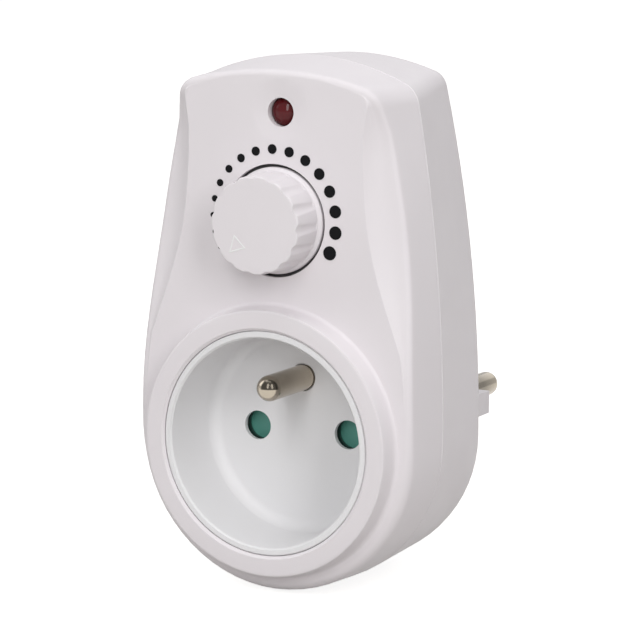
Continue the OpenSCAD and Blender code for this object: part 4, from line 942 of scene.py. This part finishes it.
set_screws("case_screws", [(-10.5, 60.0), (10.5, 60.0), (-16.8, 24.5), (16.8, 24.5)], 31.0, 4.7, 1.3, 2.5, 2.0, 1.1)
set_screws("carrier_screws", [(-13.5, 10.5), (13.5, 10.5), (0.0, -17.2)], 18.7, 13.0, 1.0, 1.9, 1.2, 0.7)
set_screws("board_screws", [(-14.5, DIAL_Z + 10.5), (14.5, DIAL_Z + 10.5), (-13.0, DIAL_Z - 9.5),
                            (13.0, DIAL_Z - 9.5)], 18.7, 11.1, 1.0, 1.9, 1.2, 0.7)
set_screws("retainer_screw", [(0.0, 0.0)], 47.5, 53.3, 1.0, 1.9, 1.2, 0.7)
set_screws("heat_sink_screw", [(10.0, DIAL_Z + 2.6)], 23.7, 30.7, 1.0, 1.9, 1.2, 0.7)


# %% [markdown]
# ## Shutter spring and choke winding
# A small coil spring pushes the shutter back over the holes, and enamelled wire is wound round the ferrite ring of
# the choke. Both are one round wire along a curve that a rule can give, so a tree bends a line and sweeps a circle
# along it. The spring gets closed end turns.

# %% Wind the wires
def wire_tree(name, inputs):
    """A tree whose line still has to be bent: gives the tree, its inputs, the share along the line and the line."""
    tree, g = shape_tree(name, [("Steps", INT), ("Wire Radius", FLOAT), ("Turns", FLOAT), ("Centre", VECTOR),
                                ("Material", MATERIAL)] + inputs)
    line = add_node(tree, "GeometryNodeCurvePrimitiveLine")
    fine = add_node(tree, "GeometryNodeResampleCurve")
    feed(tree, fine.inputs["Curve"], line.outputs[0])
    feed(tree, fine.inputs["Count"], g["Steps"])
    share = add_node(tree, "GeometryNodeSplineParameter").outputs["Factor"]
    return tree, g, share, fine.outputs[0]


def sweep_wire(tree, g, line, place):
    bent = add_node(tree, "GeometryNodeSetPosition")
    feed(tree, bent.inputs["Geometry"], line)
    moved = add_node(tree, "ShaderNodeVectorMath", operation="ADD")
    feed(tree, moved.inputs[0], place)
    feed(tree, moved.inputs[1], g["Centre"])
    feed(tree, bent.inputs["Position"], moved.outputs[0])
    circle = add_node(tree, "GeometryNodeCurvePrimitiveCircle")
    circle.inputs["Resolution"].default_value = 12
    feed(tree, circle.inputs["Radius"], g["Wire Radius"])
    swept = add_node(tree, "GeometryNodeCurveToMesh")
    feed(tree, swept.inputs["Curve"], bent.outputs[0])
    feed(tree, swept.inputs["Profile Curve"], circle.outputs[0])
    swept.inputs["Fill Caps"].default_value = True
    close_tree(tree, swept.outputs[0], g["Material"])


tree, g, share, line = wire_tree("closed_spring", [("Coil Radius", FLOAT), ("Height", FLOAT)])
turned = math_of(tree, "MULTIPLY", share, g["Turns"])
first = math_of(tree, "MINIMUM", turned, 1.0)
last = math_of(tree, "MAXIMUM", math_of(tree, "SUBTRACT", turned, math_of(tree, "SUBTRACT", g["Turns"], 1.0)), 0.0)
active = math_of(tree, "DIVIDE", math_of(tree, "SUBTRACT", math_of(tree, "SUBTRACT", turned, first), last),
                 math_of(tree, "SUBTRACT", g["Turns"], 2.0))
closing = math_of(tree, "MULTIPLY", g["Wire Radius"], 2.1)
free = math_of(tree, "SUBTRACT", g["Height"], math_of(tree, "MULTIPLY", closing, 2.0))
rise = math_of(tree, "ADD", math_of(tree, "MULTIPLY", closing, math_of(tree, "ADD", first, last)),
               math_of(tree, "MULTIPLY", free, active))
angle = math_of(tree, "MULTIPLY", turned, math.tau)
sweep_wire(tree, g, line, vector_of(
    tree, math_of(tree, "MULTIPLY", g["Coil Radius"], math_of(tree, "COSINE", angle)),
    math_of(tree, "MULTIPLY", g["Coil Radius"], math_of(tree, "SINE", angle)), rise))

low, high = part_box("shutter_spring")
WIRE = 0.2 * MM
spring = grow("shutter_spring_coil", tree, {
    "Steps": 8 * 24 + 1, "Wire Radius": WIRE, "Turns": 8.0, "Coil Radius": 0.9 * MM,
    "Height": high[2] - low[2] - 2 * WIRE, "Centre": (0.0, (low[1] + high[1]) / 2, low[2] + WIRE),
    "Material": paints["steel"]})
smooth(spring, 40)
show(spring, "housing", "steel", "shutter_spring")
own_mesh(spring)

tree, g, share, line = wire_tree("ring_winding", [("Ring Radius", FLOAT), ("Wind Radius", FLOAT), ("Sweep", FLOAT)])
around = math_of(tree, "MULTIPLY", share, g["Sweep"])
wound = math_of(tree, "MULTIPLY", math_of(tree, "MULTIPLY", share, g["Turns"]), math.tau)
reach_r = math_of(tree, "ADD", g["Ring Radius"], math_of(tree, "MULTIPLY", g["Wind Radius"],
                                                         math_of(tree, "COSINE", wound)))
sweep_wire(tree, g, line, vector_of(
    tree, math_of(tree, "MULTIPLY", reach_r, math_of(tree, "COSINE", around)),
    math_of(tree, "MULTIPLY", g["Wind Radius"], math_of(tree, "SINE", wound)),
    math_of(tree, "MULTIPLY", reach_r, math_of(tree, "SINE", around))))
winding = grow("choke_winding_wire", tree, {
    "Steps": 12 * 24 + 1, "Wire Radius": 0.4 * MM, "Turns": 12.0, "Ring Radius": 5.0 * MM, "Wind Radius": 2.6 * MM,
    "Sweep": math.radians(330), "Centre": (-8.4 * MM, FRONT + 21.8 * MM, (DIAL_Z + 0.8) * MM),
    "Material": paints["copper_wire"]})
smooth(winding, 40)
show(winding, "housing", "copper_wire", "choke_winding")


# %% [markdown]
# ## Finishes for what stays inside
# The board and its parts, the contacts and straps are seen only when the case is opened, and their solids are
# right as they are. Each keeps its node and gets the finish of its slot.

# %% Dress the inner pieces
slot_of = {part["node"]: part["material_slot"] for part in frame["record"]["subparts"]}
dressed = 0
for name, node in nodes.items():
    if node.hide_render:
        continue
    finish = paints[slot_of[name]]
    if node.material_slots:
        for place_in in node.material_slots:
            place_in.material = finish
    else:
        node.data.materials.append(finish)
    dressed += 1
print("inner pieces dressed:", dressed)
